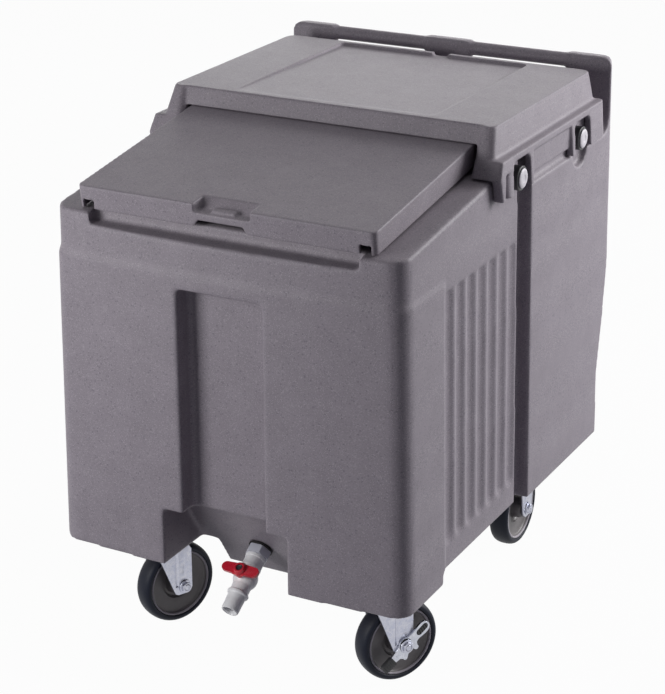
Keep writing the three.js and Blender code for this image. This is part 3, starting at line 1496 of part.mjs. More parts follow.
function leverSolid() {
  const shape = new THREE.Shape();
  const half = LEVER_HALF_WIDTH;
  shape.moveTo(-LEVER_REACH, -LEVER_TAIL_HALF);
  shape.lineTo(-LEVER_HUB_RADIUS, -LEVER_TAIL_HALF);
  shape.absarc(0, 0, LEVER_HUB_RADIUS, 1.22 * Math.PI, 1.78 * Math.PI, false);
  shape.lineTo(LEVER_REACH - half, -half);
  shape.absarc(LEVER_REACH - half, 0, half, -Math.PI / 2, Math.PI / 2, false);
  shape.absarc(0, 0, LEVER_HUB_RADIUS, 0.22 * Math.PI, 0.78 * Math.PI, false);
  shape.lineTo(-LEVER_HUB_RADIUS, LEVER_TAIL_HALF);
  shape.lineTo(-LEVER_REACH, LEVER_TAIL_HALF);
  const pivot = new THREE.Path();
  pivot.absarc(0, 0, AXLE_RADIUS + GAP, 0, 2 * Math.PI, true);
  const eye = new THREE.Path();
  eye.absarc(LEVER_REACH - LEVER_EYE_INSET, 0, LEVER_EYE_RADIUS, 0, 2 * Math.PI, true);
  shape.holes.push(pivot, eye);
  const from = FORK_GAP / 2 + FORK_THICKNESS + GAP;
  return alongZ(shape, from, from + LEVER_THICKNESS, 6);
}

function leverPad() {
  const from = FORK_GAP / 2 + FORK_THICKNESS + GAP;
  const half = LEVER_TAIL_HALF + PAD_WALL;
  const to = from + LEVER_THICKNESS + GAP;
  const reach = LEVER_REACH + PAD_WALL;
  const outer = block(-reach, -reach + PAD_REACH, -half, half, from - GAP / 2, to + PAD_WALL);
  const slot = LEVER_TAIL_HALF + GAP;
  const inner = block(-LEVER_REACH - GAP, OVERRUN - reach + PAD_REACH, -slot, slot, from - OVERRUN, to);
  return outer.subtract(inner);
}

function addBrake(wheelSpot) {
  const spot = new THREE.Group();
  // Laid on the axle, the wheel's local -X is up and its local +Y runs along the tread
  spot.rotation.z = Math.PI / 2 + LEVER_TILT_DEG * DEG;
  wheelSpot.add(spot);
  piece(spot, "brake_lever", leverSolid(), chromeSteel);
  piece(spot, "brake_pad", leverPad(), blackPlastic);
}

// The whole bin
const bin = new THREE.Group();
bin.name = "mobile_ice_bin";
piece(bin, "tub_shell", tubShell(), granite);
piece(bin, "foam_core", foamCore(), foam);
piece(bin, "fill_plug", fillPlug(), blackPlastic);
piece(bin, "hood", hood(), granite);
addPins(bin);
addLid(bin);
piece(bin, "drain_shelf", drainShelf(), granite);
addDrain(bin);
const leverRoom = LEVER_THICKNESS + GAP;
addBrake(addSwivelCaster(bin, "caster_front_right", FRONT_CASTER_X, RIGHT_SWIVEL_DEG, leverRoom));
addSwivelCaster(bin, "caster_front_left", -FRONT_CASTER_X, LEFT_SWIVEL_DEG, 0);
addRigidCaster(bin, "caster_rear_right", REAR_CASTER_X);
addRigidCaster(bin, "caster_rear_left", -REAR_CASTER_X);

export default bin;
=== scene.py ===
# %% [markdown]
# # A mobile ice bin, modelled around its CAD solids
#
# The bin is one seamless plastic tub filled with foam, on four casters. A fixed hood covers its rear, and
# a lid slides back under that hood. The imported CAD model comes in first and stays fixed: it says where
# every piece sits and which body each piece moves with. Everything that this notebook adds is in metres,
# in the same frame, with the floor at Z = 0 and the drain's side at -Y.

# %% Load the fixed frame
import json
import math

import bmesh
import bpy
from mathutils import Matrix, Vector


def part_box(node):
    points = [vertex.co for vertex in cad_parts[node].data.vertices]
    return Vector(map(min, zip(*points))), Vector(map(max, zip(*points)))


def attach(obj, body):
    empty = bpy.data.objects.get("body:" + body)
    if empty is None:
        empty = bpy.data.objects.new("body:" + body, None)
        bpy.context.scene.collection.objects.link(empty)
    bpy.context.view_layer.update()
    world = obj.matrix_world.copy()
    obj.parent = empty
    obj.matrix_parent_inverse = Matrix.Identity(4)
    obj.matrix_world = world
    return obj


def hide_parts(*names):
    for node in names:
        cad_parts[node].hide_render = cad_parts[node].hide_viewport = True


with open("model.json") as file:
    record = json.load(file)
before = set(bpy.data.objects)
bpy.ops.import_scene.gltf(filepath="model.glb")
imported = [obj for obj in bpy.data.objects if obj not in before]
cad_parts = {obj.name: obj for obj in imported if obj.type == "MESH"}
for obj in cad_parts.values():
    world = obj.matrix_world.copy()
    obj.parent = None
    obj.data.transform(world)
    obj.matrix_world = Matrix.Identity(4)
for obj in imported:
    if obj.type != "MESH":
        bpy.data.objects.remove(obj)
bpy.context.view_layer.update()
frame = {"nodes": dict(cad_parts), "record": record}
MM = 0.001

# %% [markdown]
# ## The camera
#
# The photograph was taken with a long lens from 28 degrees right of the front and 21.5 degrees above.
# The viewing direction, distance and focal length were worked out from points of the photograph whose
# places on the bin are known. A camera looks along its own -Z axis, so the direction back from the bin to
# the camera gives its turn, and a last small turn about that axis gives the roll.

# %% Place the camera
PHOTO_SIZE = (665, 694)
FOCAL_PIXELS = 2113.5
CAMERA_YAW, CAMERA_PITCH, CAMERA_ROLL = (math.radians(d) for d in (28.017, 21.557, -0.202))
CAMERA_TARGET = Vector((-0.02196, 0, 0.3907))
CAMERA_DISTANCE = 3.2426

back = Vector((math.sin(CAMERA_YAW) * math.cos(CAMERA_PITCH),
               -math.cos(CAMERA_YAW) * math.cos(CAMERA_PITCH),
               math.sin(CAMERA_PITCH)))
bpy.ops.object.camera_add(location=CAMERA_TARGET + back * CAMERA_DISTANCE)
camera = bpy.context.object
camera.name = "photo_camera"
turn = (-back).to_track_quat("-Z", "Y").to_matrix() @ Matrix.Rotation(CAMERA_ROLL, 3, "Z")
camera.rotation_euler = turn.to_euler()
camera.data.sensor_fit = "AUTO"
camera.data.sensor_width = 36
camera.data.lens = FOCAL_PIXELS * camera.data.sensor_width / max(PHOTO_SIZE)
camera.data.clip_end = 60
bpy.context.scene.camera = camera
print("lens in mm:", round(camera.data.lens, 1))

# %% [markdown]
# ## Studio light
#
# In the photograph the right side is the brightest, the front is darker, and the round corner between
# them is nearly black. That means two soft lamps on opposite sides: one in front on the left and one
# behind on the right, both turned away from that corner. A third lamp low behind the bin grazes the level hood
# and lights it by reflection, while the lid, which leans towards the camera, stays darker.

# %% Hang the soft boxes
bpy.context.scene.view_settings.view_transform = "Standard"
LAMP_AIM = Vector((0, 0, 0.45))


def soft_box(name, place, width, height, watts):
    bpy.ops.object.light_add(type="AREA", location=place)
    lamp = bpy.context.object
    lamp.name = name
    lamp.rotation_euler = (LAMP_AIM - Vector(place)).to_track_quat("-Z", "Y").to_euler()
    lamp.data.shape = "RECTANGLE"
    lamp.data.size = width
    lamp.data.size_y = height
    lamp.data.energy = watts
    lamp.visible_camera = False
    return lamp


soft_box("left_front_box", (-0.85, -1.55, 0.8), 0.7, 1.0, 16.5)
soft_box("right_rear_box", (1.85, 1.62, 1.5), 1.3, 1.5, 72)
soft_box("low_rear_box", (-1.6, 3.2, 1.35), 2.2, 1.0, 19)
soft_box("overhead_box", (0.3, 0.6, 3.2), 1.6, 1.6, 7)

# %% [markdown]
# ## Floor and background
#
# The photograph's background is plain white. The world is white only for what the camera, a mirror-like
# surface or glass sees, and a modest grey for everything else, so it doesn't wash out the bin. The floor
# mixes its own lit, shadowed surface with plain white in the same way, which keeps a soft shadow.

# %% World and floor
AMBIENT_GREY = 0.03
FLOOR_GREY = 0.3
FLOOR_WHITENESS = 0.97


def tidy_nodes(tree, across=220, down=190):
    """Spread nodes out from left to right in the order they were made, four to a column."""
    for place, made in enumerate(tree.nodes):
        made.location = (place // 4 * across, -(place % 4) * down)


def seen_by_eye(tree):
    """1 for camera, glossy and transmission rays, and 0 for the rays that light a surface."""
    path = tree.nodes.new("ShaderNodeLightPath")
    either = tree.nodes.new("ShaderNodeMath")
    either.operation = "MAXIMUM"
    tree.links.new(path.outputs["Is Camera Ray"], either.inputs[0])
    tree.links.new(path.outputs["Is Glossy Ray"], either.inputs[1])
    any_ray = tree.nodes.new("ShaderNodeMath")
    any_ray.operation = "MAXIMUM"
    tree.links.new(either.outputs[0], any_ray.inputs[0])
    tree.links.new(path.outputs["Is Transmission Ray"], any_ray.inputs[1])
    return any_ray.outputs[0]


world = bpy.data.worlds.new("white_studio")
bpy.context.scene.world = world
world.use_nodes = True
sky = world.node_tree
sky.nodes.clear()
sky_out = sky.nodes.new("ShaderNodeOutputWorld")
sky_mix = sky.nodes.new("ShaderNodeMixShader")
sky_room = sky.nodes.new("ShaderNodeBackground")
sky_room.inputs["Color"].default_value = (AMBIENT_GREY, AMBIENT_GREY * 0.98, AMBIENT_GREY * 1.35, 1)
sky_white = sky.nodes.new("ShaderNodeBackground")
sky_white.inputs["Color"].default_value = (1, 1, 1, 1)
sky.links.new(seen_by_eye(sky), sky_mix.inputs["Fac"])
sky.links.new(sky_room.outputs[0], sky_mix.inputs[1])
sky.links.new(sky_white.outputs[0], sky_mix.inputs[2])
sky.links.new(sky_mix.outputs[0], sky_out.inputs["Surface"])
tidy_nodes(sky)

bpy.ops.object.select_all(action="DESELECT")
bpy.ops.mesh.primitive_plane_add(size=40, location=(0, 0, -0.0004))
floor = bpy.context.object
floor.name = "studio_floor"
floor_paint = bpy.data.materials.new("studio_floor_paint")
floor_paint.use_nodes = True
floor_tree = floor_paint.node_tree
floor_tree.nodes.clear()
floor_out = floor_tree.nodes.new("ShaderNodeOutputMaterial")
floor_mix = floor_tree.nodes.new("ShaderNodeMixShader")
floor_lit = floor_tree.nodes.new("ShaderNodeBsdfDiffuse")
floor_lit.inputs["Color"].default_value = (FLOOR_GREY, FLOOR_GREY, FLOOR_GREY * 1.15, 1)
floor_white = floor_tree.nodes.new("ShaderNodeEmission")
floor_share = floor_tree.nodes.new("ShaderNodeMath")
floor_share.operation = "MULTIPLY"
floor_share.inputs[1].default_value = FLOOR_WHITENESS
floor_tree.links.new(seen_by_eye(floor_tree), floor_share.inputs[0])
floor_tree.links.new(floor_share.outputs[0], floor_mix.inputs["Fac"])
floor_tree.links.new(floor_lit.outputs[0], floor_mix.inputs[1])
floor_tree.links.new(floor_white.outputs[0], floor_mix.inputs[2])
floor_tree.links.new(floor_mix.outputs[0], floor_out.inputs["Surface"])
tidy_nodes(floor_tree)
floor.data.materials.append(floor_paint)
print("floor and world ready")

# %% [markdown]
# ## Effects that several finishes share
#
# Four effects come back in many of the finishes, so each is a node group with named sockets that every
# material fills with its own values. *Granite flecks* mixes dark and light specks into one ground colour,
# as the pellets of the moulding powder do. *Moulded skin* is the fine orange-peel that a mould leaves.
# *Scuffs and proud edges* is a mask of scuffs and of proud edges; where a finish lays a lighter colour on it,
# that colour is partly wear and partly a painted edge highlight. *Settled dust* is a mask that lies on faces
# that look up. A group gives only colours, masks and heights, and the shader stays in the material.

# %% Helpers for groups and materials
def new_group(name, inputs, outputs):
    group = bpy.data.node_groups.new(name, "ShaderNodeTree")
    for label, kind, value in inputs:
        socket = group.interface.new_socket(name=label, in_out="INPUT", socket_type=kind)
        if value is not None:
            socket.default_value = value
    for label, kind in outputs:
        group.interface.new_socket(name=label, in_out="OUTPUT", socket_type=kind)
    return group, group.nodes.new("NodeGroupInput"), group.nodes.new("NodeGroupOutput")


def noise(tree, place, scale, detail=3.0, roughness=0.55, distortion=0.0):
    made = tree.nodes.new("ShaderNodeTexNoise")
    made.inputs["Detail"].default_value = detail
    made.inputs["Roughness"].default_value = roughness
    made.inputs["Distortion"].default_value = distortion
    if isinstance(scale, (int, float)):
        made.inputs["Scale"].default_value = scale
    else:
        tree.links.new(scale, made.inputs["Scale"])
    tree.links.new(place, made.inputs["Vector"])
    return made.outputs["Fac"]


def graded(tree, value, from_low, from_high, to_low=0.0, to_high=1.0):
    """Map Range: stretch one span of a value over another, and stop at its ends."""
    made = tree.nodes.new("ShaderNodeMapRange")
    tree.links.new(value, made.inputs["Value"])
    for label, number in (("From Min", from_low), ("From Max", from_high), ("To Min", to_low), ("To Max", to_high)):
        made.inputs[label].default_value = number
    return made.outputs["Result"]


def maths(tree, operation, first, second):
    made = tree.nodes.new("ShaderNodeMath")
    made.operation = operation
    for slot, value in enumerate((first, second)):
        if isinstance(value, (int, float)):
            made.inputs[slot].default_value = value
        else:
            tree.links.new(value, made.inputs[slot])
    return made.outputs[0]


def blended(tree, share, first, second, blend="MIX"):
    """Mix Color: a share of the second colour over the first."""
    made = tree.nodes.new("ShaderNodeMix")
    made.data_type = "RGBA"
    made.blend_type = blend
    for label, value in (("Factor", share), ("A", first), ("B", second)):
        socket = [s for s in made.inputs if s.name == label and s.type in ("VALUE", "RGBA") and s.enabled][0]
        if isinstance(value, bpy.types.NodeSocket):
            tree.links.new(value, socket)
        elif isinstance(value, (int, float)):
            socket.default_value = value
        else:
            socket.default_value = (*value[:3], 1)
    return [s for s in made.outputs if s.type == "RGBA" and s.enabled][0]


print("node helpers ready")

# %% Granite flecks
def fleck_layer(tree, place, cells, share, sharp):
    """Ragged specks: the middles of a few cells of a cellular pattern, chosen by the cell's own colour."""
    wobble = tree.nodes.new("ShaderNodeTexNoise")
    tree.links.new(place, wobble.inputs["Vector"])
    wobble.inputs["Scale"].default_value = cells * 2.1
    moved = tree.nodes.new("ShaderNodeVectorMath")
    moved.operation = "MULTIPLY_ADD"
    tree.links.new(wobble.outputs["Color"], moved.inputs[0])
    moved.inputs[1].default_value = [0.6 / cells] * 3
    tree.links.new(place, moved.inputs[2])
    cell = tree.nodes.new("ShaderNodeTexVoronoi")
    cell.inputs["Scale"].default_value = cells
    tree.links.new(moved.outputs[0], cell.inputs["Vector"])
    pick = tree.nodes.new("ShaderNodeSeparateColor")
    tree.links.new(cell.outputs["Color"], pick.inputs[0])
    chosen = graded(tree, pick.outputs[0], 1 - share, 1 - share + 0.02)
    core = graded(tree, cell.outputs["Distance"], 0.55, 0.55 - sharp)
    return maths(tree, "MULTIPLY", chosen, core)


flecks, fleck_in, fleck_out = new_group(
    "granite flecks",
    [("Place", "NodeSocketVector", None), ("Ground", "NodeSocketColor", (0.3, 0.28, 0.3, 1)),
     ("Dark fleck", "NodeSocketColor", (0.05, 0.05, 0.06, 1)), ("Light fleck", "NodeSocketColor", (0.7, 0.68, 0.7, 1)),
     ("Amount", "NodeSocketFloat", 0.5)],
    [("Color", "NodeSocketColor"), ("Fleck mask", "NodeSocketFloat")])
dark_fine = fleck_layer(flecks, fleck_in.outputs["Place"], 780, 0.3, 0.3)
light_fine = fleck_layer(flecks, fleck_in.outputs["Place"], 690, 0.26, 0.3)
dark_coarse = fleck_layer(flecks, fleck_in.outputs["Place"], 330, 0.1, 0.2)
dark_share = maths(flecks, "MULTIPLY", maths(flecks, "MAXIMUM", dark_fine, dark_coarse), fleck_in.outputs["Amount"])
light_share = maths(flecks, "MULTIPLY", light_fine, fleck_in.outputs["Amount"])
cloud = graded(flecks, noise(flecks, fleck_in.outputs["Place"], 26, 4), 0.3, 0.7, 0.94, 1.06)
clouded = blended(flecks, 1.0, fleck_in.outputs["Ground"], cloud, "MULTIPLY")
with_dark = blended(flecks, dark_share, clouded, fleck_in.outputs["Dark fleck"])
with_light = blended(flecks, light_share, with_dark, fleck_in.outputs["Light fleck"])
flecks.links.new(with_light, fleck_out.inputs["Color"])
flecks.links.new(maths(flecks, "MAXIMUM", dark_share, light_share), fleck_out.inputs["Fleck mask"])
tidy_nodes(flecks)
print("group:", flecks.name, len(flecks.nodes), "nodes")

# %% Moulded skin
skin, skin_in, skin_out = new_group(
    "moulded skin",
    [("Place", "NodeSocketVector", None), ("Grain", "NodeSocketFloat", 420.0), ("Waviness", "NodeSocketFloat", 0.5)],
    [("Height", "NodeSocketFloat"), ("Roughness shift", "NodeSocketFloat")])
peel = noise(skin, skin_in.outputs["Place"], skin_in.outputs["Grain"], 2.5, 0.6)
swell = noise(skin, skin_in.outputs["Place"], 24, 2, 0.5)
height = maths(skin, "ADD", peel, maths(skin, "MULTIPLY", swell, skin_in.outputs["Waviness"]))
skin.links.new(height, skin_out.inputs["Height"])
skin.links.new(graded(skin, peel, 0.3, 0.7, -0.06, 0.06), skin_out.inputs["Roughness shift"])
tidy_nodes(skin)
print("group:", skin.name, len(skin.nodes), "nodes")

# %% Scuffs and proud edges
edges_and_scuffs, edges_and_scuffs_in, edges_and_scuffs_out = new_group(
    "scuffs and proud edges",
    [("Place", "NodeSocketVector", None), ("Scale", "NodeSocketFloat", 60.0), ("Edge", "NodeSocketFloat", 0.5),
     ("Amount", "NodeSocketFloat", 0.5)],
    [("Mask", "NodeSocketFloat"), ("Height", "NodeSocketFloat")])
scuffs = graded(edges_and_scuffs, noise(edges_and_scuffs, edges_and_scuffs_in.outputs["Place"], edges_and_scuffs_in.outputs["Scale"], 6, 0.7, 0.8), 0.58, 0.74)
surface = edges_and_scuffs.nodes.new("ShaderNodeNewGeometry")
# Proud edges join the scuffs in one mask; a finish that lays a lighter colour on it paints an edge highlight there as
# well as wear.
proud = graded(edges_and_scuffs, surface.outputs["Pointiness"], 0.53, 0.6)
proud_edge_share = maths(edges_and_scuffs, "MULTIPLY", proud, edges_and_scuffs_in.outputs["Edge"])
broken = graded(edges_and_scuffs, noise(edges_and_scuffs, edges_and_scuffs_in.outputs["Place"], 95, 4, 0.7), 0.4, 0.62)
broken_edge_share = maths(edges_and_scuffs, "MULTIPLY", proud_edge_share, broken)
mask = maths(edges_and_scuffs, "MULTIPLY", maths(edges_and_scuffs, "MAXIMUM", scuffs, broken_edge_share), edges_and_scuffs_in.outputs["Amount"])
edges_and_scuffs.links.new(mask, edges_and_scuffs_out.inputs["Mask"])
edges_and_scuffs.links.new(maths(edges_and_scuffs, "MULTIPLY", mask, -1.0), edges_and_scuffs_out.inputs["Height"])
tidy_nodes(edges_and_scuffs)
print("group:", edges_and_scuffs.name, len(edges_and_scuffs.nodes), "nodes")

# %% Settled dust
dust, dust_in, dust_out = new_group(
    "settled dust",
    [("Place", "NodeSocketVector", None), ("Amount", "NodeSocketFloat", 0.3)],
    [("Mask", "NodeSocketFloat")])
facing = dust.nodes.new("ShaderNodeNewGeometry")
facing_parts = dust.nodes.new("ShaderNodeSeparateXYZ")
dust.links.new(facing.outputs["Normal"], facing_parts.inputs[0])
upward = graded(dust, facing_parts.outputs["Z"], 0.35, 0.95)
patches = graded(dust, noise(dust, dust_in.outputs["Place"], 14, 5, 0.65), 0.35, 0.75, 0.2, 1.0)
dusty = maths(dust, "MULTIPLY", maths(dust, "MULTIPLY", upward, patches), dust_in.outputs["Amount"])
dust.links.new(dusty, dust_out.inputs["Mask"])
tidy_nodes(dust)
print("group:", dust.name, len(dust.nodes), "nodes")

# %% [markdown]
# ## Finishes
#
# Every finish is a Principled shader whose colour, roughness and bump come from these groups. The helper
# below starts a material with Object coordinates, which here are metres on the real bin, so that a grain
# of one millimetre is a scale of about a thousand.

# %% A helper that starts a finish
def place_group(tree, group, place, **values):
    made = tree.nodes.new("ShaderNodeGroup")
    made.node_tree = group
    made.label = group.name
    tree.links.new(place, made.inputs["Place"])
    for label, value in values.items():
        socket = made.inputs[label.replace("_", " ")]
        if isinstance(value, bpy.types.NodeSocket):
            tree.links.new(value, socket)
        elif isinstance(value, (int, float)):
            socket.default_value = value
        else:
            socket.default_value = (*value, 1)
    return made


def start_finish(name, metallic=0.0, specular=0.5, coat=0.0):
    finish = bpy.data.materials.new(name)
    finish.use_nodes = True
    tree = finish.node_tree
    shader = tree.nodes["Principled BSDF"]
    shader.inputs["Metallic"].default_value = metallic
    shader.inputs["Specular IOR Level"].default_value = specular
    shader.inputs["Coat Weight"].default_value = coat
    place = tree.nodes.new("ShaderNodeTexCoord").outputs["Object"]
    return finish, tree, shader, place


def bump(tree, shader, height, strength, depth):
    made = tree.nodes.new("ShaderNodeBump")
    made.inputs["Strength"].default_value = strength
    made.inputs["Distance"].default_value = depth
    tree.links.new(height, made.inputs["Height"])
    tree.links.new(made.outputs["Normal"], shader.inputs["Normal"])


def srgb(red, green, blue):
    """A colour read off a screen, 0 to 255, as the linear numbers that a shader takes."""
    return tuple(((c / 255 + 0.055) / 1.055) ** 2.4 if c > 10 else c / 255 / 12.92 for c in (red, green, blue))


finishes = {}

# %% Granite plastic of the tub, hood and lid
def granite_finish(name, ground, dust_amount):
    finish, tree, shader, place = start_finish(name, specular=0.28)
    fleck = place_group(tree, flecks, place, Ground=ground, Dark_fleck=srgb(72, 68, 84),
                        Light_fleck=srgb(205, 199, 204), Amount=0.34)
    edge_scuff_mask = place_group(tree, edges_and_scuffs, place, Scale=48.0, Edge=0.5, Amount=0.35)
    lie = place_group(tree, dust, place, Amount=dust_amount)
    peel = place_group(tree, skin, place, Grain=520.0, Waviness=1.4)
    # Scuffs and proud edges turn a lighter grey: partly wear, partly a painted edge highlight.
    edge_scuff_coloured = blended(tree, edge_scuff_mask.outputs["Mask"], fleck.outputs["Color"], srgb(172, 166, 172))
    dusted = blended(tree, lie.outputs["Mask"], edge_scuff_coloured, srgb(176, 168, 170))
    tree.links.new(dusted, shader.inputs["Base Color"])
    rough = maths(tree, "ADD", peel.outputs["Roughness shift"], 0.5)
    rough = maths(tree, "ADD", rough, maths(tree, "MULTIPLY", edge_scuff_mask.outputs["Mask"], 0.18))
    tree.links.new(rough, shader.inputs["Roughness"])
    bump(tree, shader, peel.outputs["Height"], 0.35, 0.0006)
    tidy_nodes(tree)
    return finish


finishes["granite"] = granite_finish("granite_polyethylene", srgb(141, 134, 142), 0.1)
print("finish:", finishes["granite"].name)

# %% White, black, red and grey plastics of the pins, spacers and drain
def plain_plastic(name, colour, roughness, edge_and_scuff_colour, edges_and_scuffs_amount=0.3, grain=700.0, coat=0.0):
    finish, tree, shader, place = start_finish(name, specular=0.5, coat=coat)
    cloud = graded(tree, noise(tree, place, 70, 4), 0.3, 0.7, 0.93, 1.05)
    toned = blended(tree, 1.0, colour, cloud, "MULTIPLY")
    edge_scuff_mask = place_group(tree, edges_and_scuffs, place, Scale=160.0, Edge=0.7, Amount=edges_and_scuffs_amount)
    peel = place_group(tree, skin, place, Grain=grain, Waviness=0.3)
    # The edge and scuff colour lies on scuffs and proud edges; where it is lighter than the ground, as on the grey,
    # red, black and hub plastics, it is partly wear and partly a painted highlight.
    edge_scuff_coloured = blended(tree, edge_scuff_mask.outputs["Mask"], toned, edge_and_scuff_colour)
    tree.links.new(edge_scuff_coloured, shader.inputs["Base Color"])
    rough = maths(tree, "ADD", peel.outputs["Roughness shift"], roughness)
    rough = maths(tree, "ADD", rough, maths(tree, "MULTIPLY", edge_scuff_mask.outputs["Mask"], 0.25))
    tree.links.new(rough, shader.inputs["Roughness"])
    bump(tree, shader, peel.outputs["Height"], 0.25, 0.0002)
    tidy_nodes(tree)
    return finish


finishes["white_plastic"] = plain_plastic("white_acetal", srgb(204, 200, 206), 0.42, srgb(176, 170, 174), 0.4)
finishes["white_pipe"] = plain_plastic("white_pipe_plastic", srgb(240, 240, 242), 0.32, srgb(186, 184, 186), 0.3)
finishes["grey_plastic"] = plain_plastic("grey_pipe_plastic", srgb(188, 190, 200), 0.32, srgb(210, 212, 218), 0.3)
finishes["black_plastic"] = plain_plastic("black_nylon", srgb(28, 28, 32), 0.42, srgb(74, 74, 78), 0.35)
finishes["red_plastic"] = plain_plastic("red_handle_plastic", srgb(204, 30, 52), 0.3, srgb(206, 92, 100), 0.3)
finishes["hub"] = plain_plastic("hub_nylon", srgb(108, 104, 105), 0.45, srgb(140, 137, 138), 0.35, 420.0)
# The rim ring's pale finish is a painted highlight along the hub's rim.
finishes["rim_highlight_ring"] = plain_plastic("rim_highlight_ring_nylon", srgb(176, 170, 178), 0.4, srgb(196, 192, 200), 0.4, 420.0)
finishes["foam"] = plain_plastic("insulation_foam", srgb(228, 214, 168), 0.85, srgb(244, 236, 204), 0.5, 300.0)
print("plastics:", len(finishes) - 1)

# %% Rubber of the tyres and gasket
def rubber(name, colour, sheen_colour, roughness):
    finish, tree, shader, place = start_finish(name, specular=0.2)
    edge_scuff_mask = place_group(tree, edges_and_scuffs, place, Scale=90.0, Edge=0.4, Amount=0.5)
    lie = place_group(tree, dust, place, Amount=0.2)
    peel = place_group(tree, skin, place, Grain=900.0, Waviness=0.2)
    # Scuffs and proud edges take the sheen colour: a painted sheen along the tyre's shoulders and edges, partly scuff
    # marks.
    edge_scuff_coloured = blended(tree, edge_scuff_mask.outputs["Mask"], colour, sheen_colour)
    dusted = blended(tree, lie.outputs["Mask"], edge_scuff_coloured, srgb(120, 114, 110))
    tree.links.new(dusted, shader.inputs["Base Color"])
    rough = maths(tree, "ADD", peel.outputs["Roughness shift"], roughness)
    tree.links.new(rough, shader.inputs["Roughness"])
    bump(tree, shader, peel.outputs["Height"], 0.3, 0.0003)
    tidy_nodes(tree)
    return finish


# The lighter sheen colours are painted highlights on scuffs and proud edges, partly scuff marks.
finishes["tyre"] = rubber("tyre_rubber", srgb(15, 20, 35), srgb(34, 40, 56), 0.5)
finishes["gasket"] = rubber("gasket_rubber", srgb(18, 18, 20), srgb(48, 48, 50), 0.62)
print("rubbers ready")

# %% Zinc-plated and chromed steel of the casters
def steel(name, colour, roughness, tint, streaks=0.1):
    finish, tree, shader, place = start_finish(name, metallic=1.0)
    spangle = graded(tree, noise(tree, place, 150, 5, 0.7, 0.6), 0.3, 0.7)
    toned = blended(tree, spangle, colour, tint)
    edge_scuff_mask = place_group(tree, edges_and_scuffs, place, Scale=220.0, Edge=0.6, Amount=0.4)
    grimy = blended(tree, edge_scuff_mask.outputs["Mask"], toned, srgb(96, 92, 90))
    tree.links.new(grimy, shader.inputs["Base Color"])
    brushed = graded(tree, noise(tree, place, 900, 2, 0.5), 0.3, 0.7, -streaks, streaks)
    rough = maths(tree, "ADD", brushed, roughness)
    rough = maths(tree, "ADD", rough, maths(tree, "MULTIPLY", edge_scuff_mask.outputs["Mask"], 0.3))
    tree.links.new(rough, shader.inputs["Roughness"])
    peel = place_group(tree, skin, place, Grain=1200.0, Waviness=0.4)
    bump(tree, shader, peel.outputs["Height"], 0.15, 0.00015)
    tidy_nodes(tree)
    return finish


finishes["zinc"] = steel("zinc_plated_steel", srgb(168, 172, 190), 0.34, srgb(196, 196, 204))
finishes["chrome"] = steel("chromed_steel", srgb(172, 175, 186), 0.14, srgb(200, 202, 210), 0.04)
print("steels ready")

# %% [markdown]
# ## Hand tools
#
# New pieces are modelled with the same operators that a hand would use. These helpers select one piece,
# select parts of it by their place, and apply a modifier. An operator acts on all that is selected, so
# each helper deselects everything first.

# %% Selecting and applying
def only(piece):
    if bpy.context.object is not None and bpy.context.object.mode != "OBJECT":
        bpy.ops.object.mode_set(mode="OBJECT")
    bpy.ops.object.select_all(action="DESELECT")
    piece.select_set(True)
    bpy.context.view_layer.objects.active = piece
    return piece


def nothing():
    if bpy.context.object is not None and bpy.context.object.mode != "OBJECT":
        bpy.ops.object.mode_set(mode="OBJECT")
    bpy.ops.object.select_all(action="DESELECT")


def pick(kind, wanted):
    """In edit mode, select the vertices, edges or faces that pass a test."""
    bpy.ops.mesh.select_mode(type=kind)
    bpy.ops.mesh.select_all(action="DESELECT")
    shape = bmesh.from_edit_mesh(bpy.context.object.data)
    items = {"VERT": shape.verts, "EDGE": shape.edges, "FACE": shape.faces}[kind]
    found = [item for item in items if wanted(item)]
    for item in found:
        item.select_set(True)
    bmesh.update_edit_mesh(bpy.context.object.data)
    return len(found)


def apply_modifier(piece, kind, **values):
    only(piece)
    made = piece.modifiers.new(kind.lower(), kind)
    for label, value in values.items():
        setattr(made, label, value)
    bpy.ops.object.modifier_apply(modifier=made.name)


def merged_copy(name, *nodes):
    """A copy of CAD solids as one object, with the corners of its loose triangles merged."""
    nothing()
    copies = []
    for label in nodes:
        source = frame["nodes"][label]
        copy = source.copy()
        copy.data = source.data.copy()
        copy.parent = None
        for key in list(copy.keys()):
            del copy[key]
        bpy.context.scene.collection.objects.link(copy)
        copies.append(copy)
    for copy in copies:
        copy.select_set(True)
    bpy.context.view_layer.objects.active = copies[0]
    if len(copies) > 1:
        bpy.ops.object.join()
    piece = bpy.context.object
    piece.name = name
    piece.data.name = name
    only(piece)
    bpy.ops.object.mode_set(mode="EDIT")
    bpy.ops.mesh.select_all(action="SELECT")
    bpy.ops.mesh.remove_doubles(threshold=0.02 * MM)
    bpy.ops.object.mode_set(mode="OBJECT")
    return piece


def dress(piece, finish, body, slot, *stands_for):
    """Give a piece its finish, the body that it moves with and the solids that it stands for."""
    piece.data.materials.clear()
    piece.data.materials.append(finishes[finish])
    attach(piece, body)
    if stands_for:
        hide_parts(*stands_for)
    print(piece.name, len(piece.data.polygons), "faces, on", body)
    return piece


print("hand tools ready")

# %% [markdown]
# ## The tub
#
# The real tub is rotomoulded: plastic powder melts onto the inside of a hot mould that turns slowly, so
# every corner comes out round and every wall flows into the next. The CAD solid has those walls with
# crisp corners. A voxel remesh casts it again as one skin of small even faces, and a few rounds of
# smoothing then melt each edge to a radius of a few millimetres, as the mould does. Decimate takes out
# the faces that flat walls don't need.

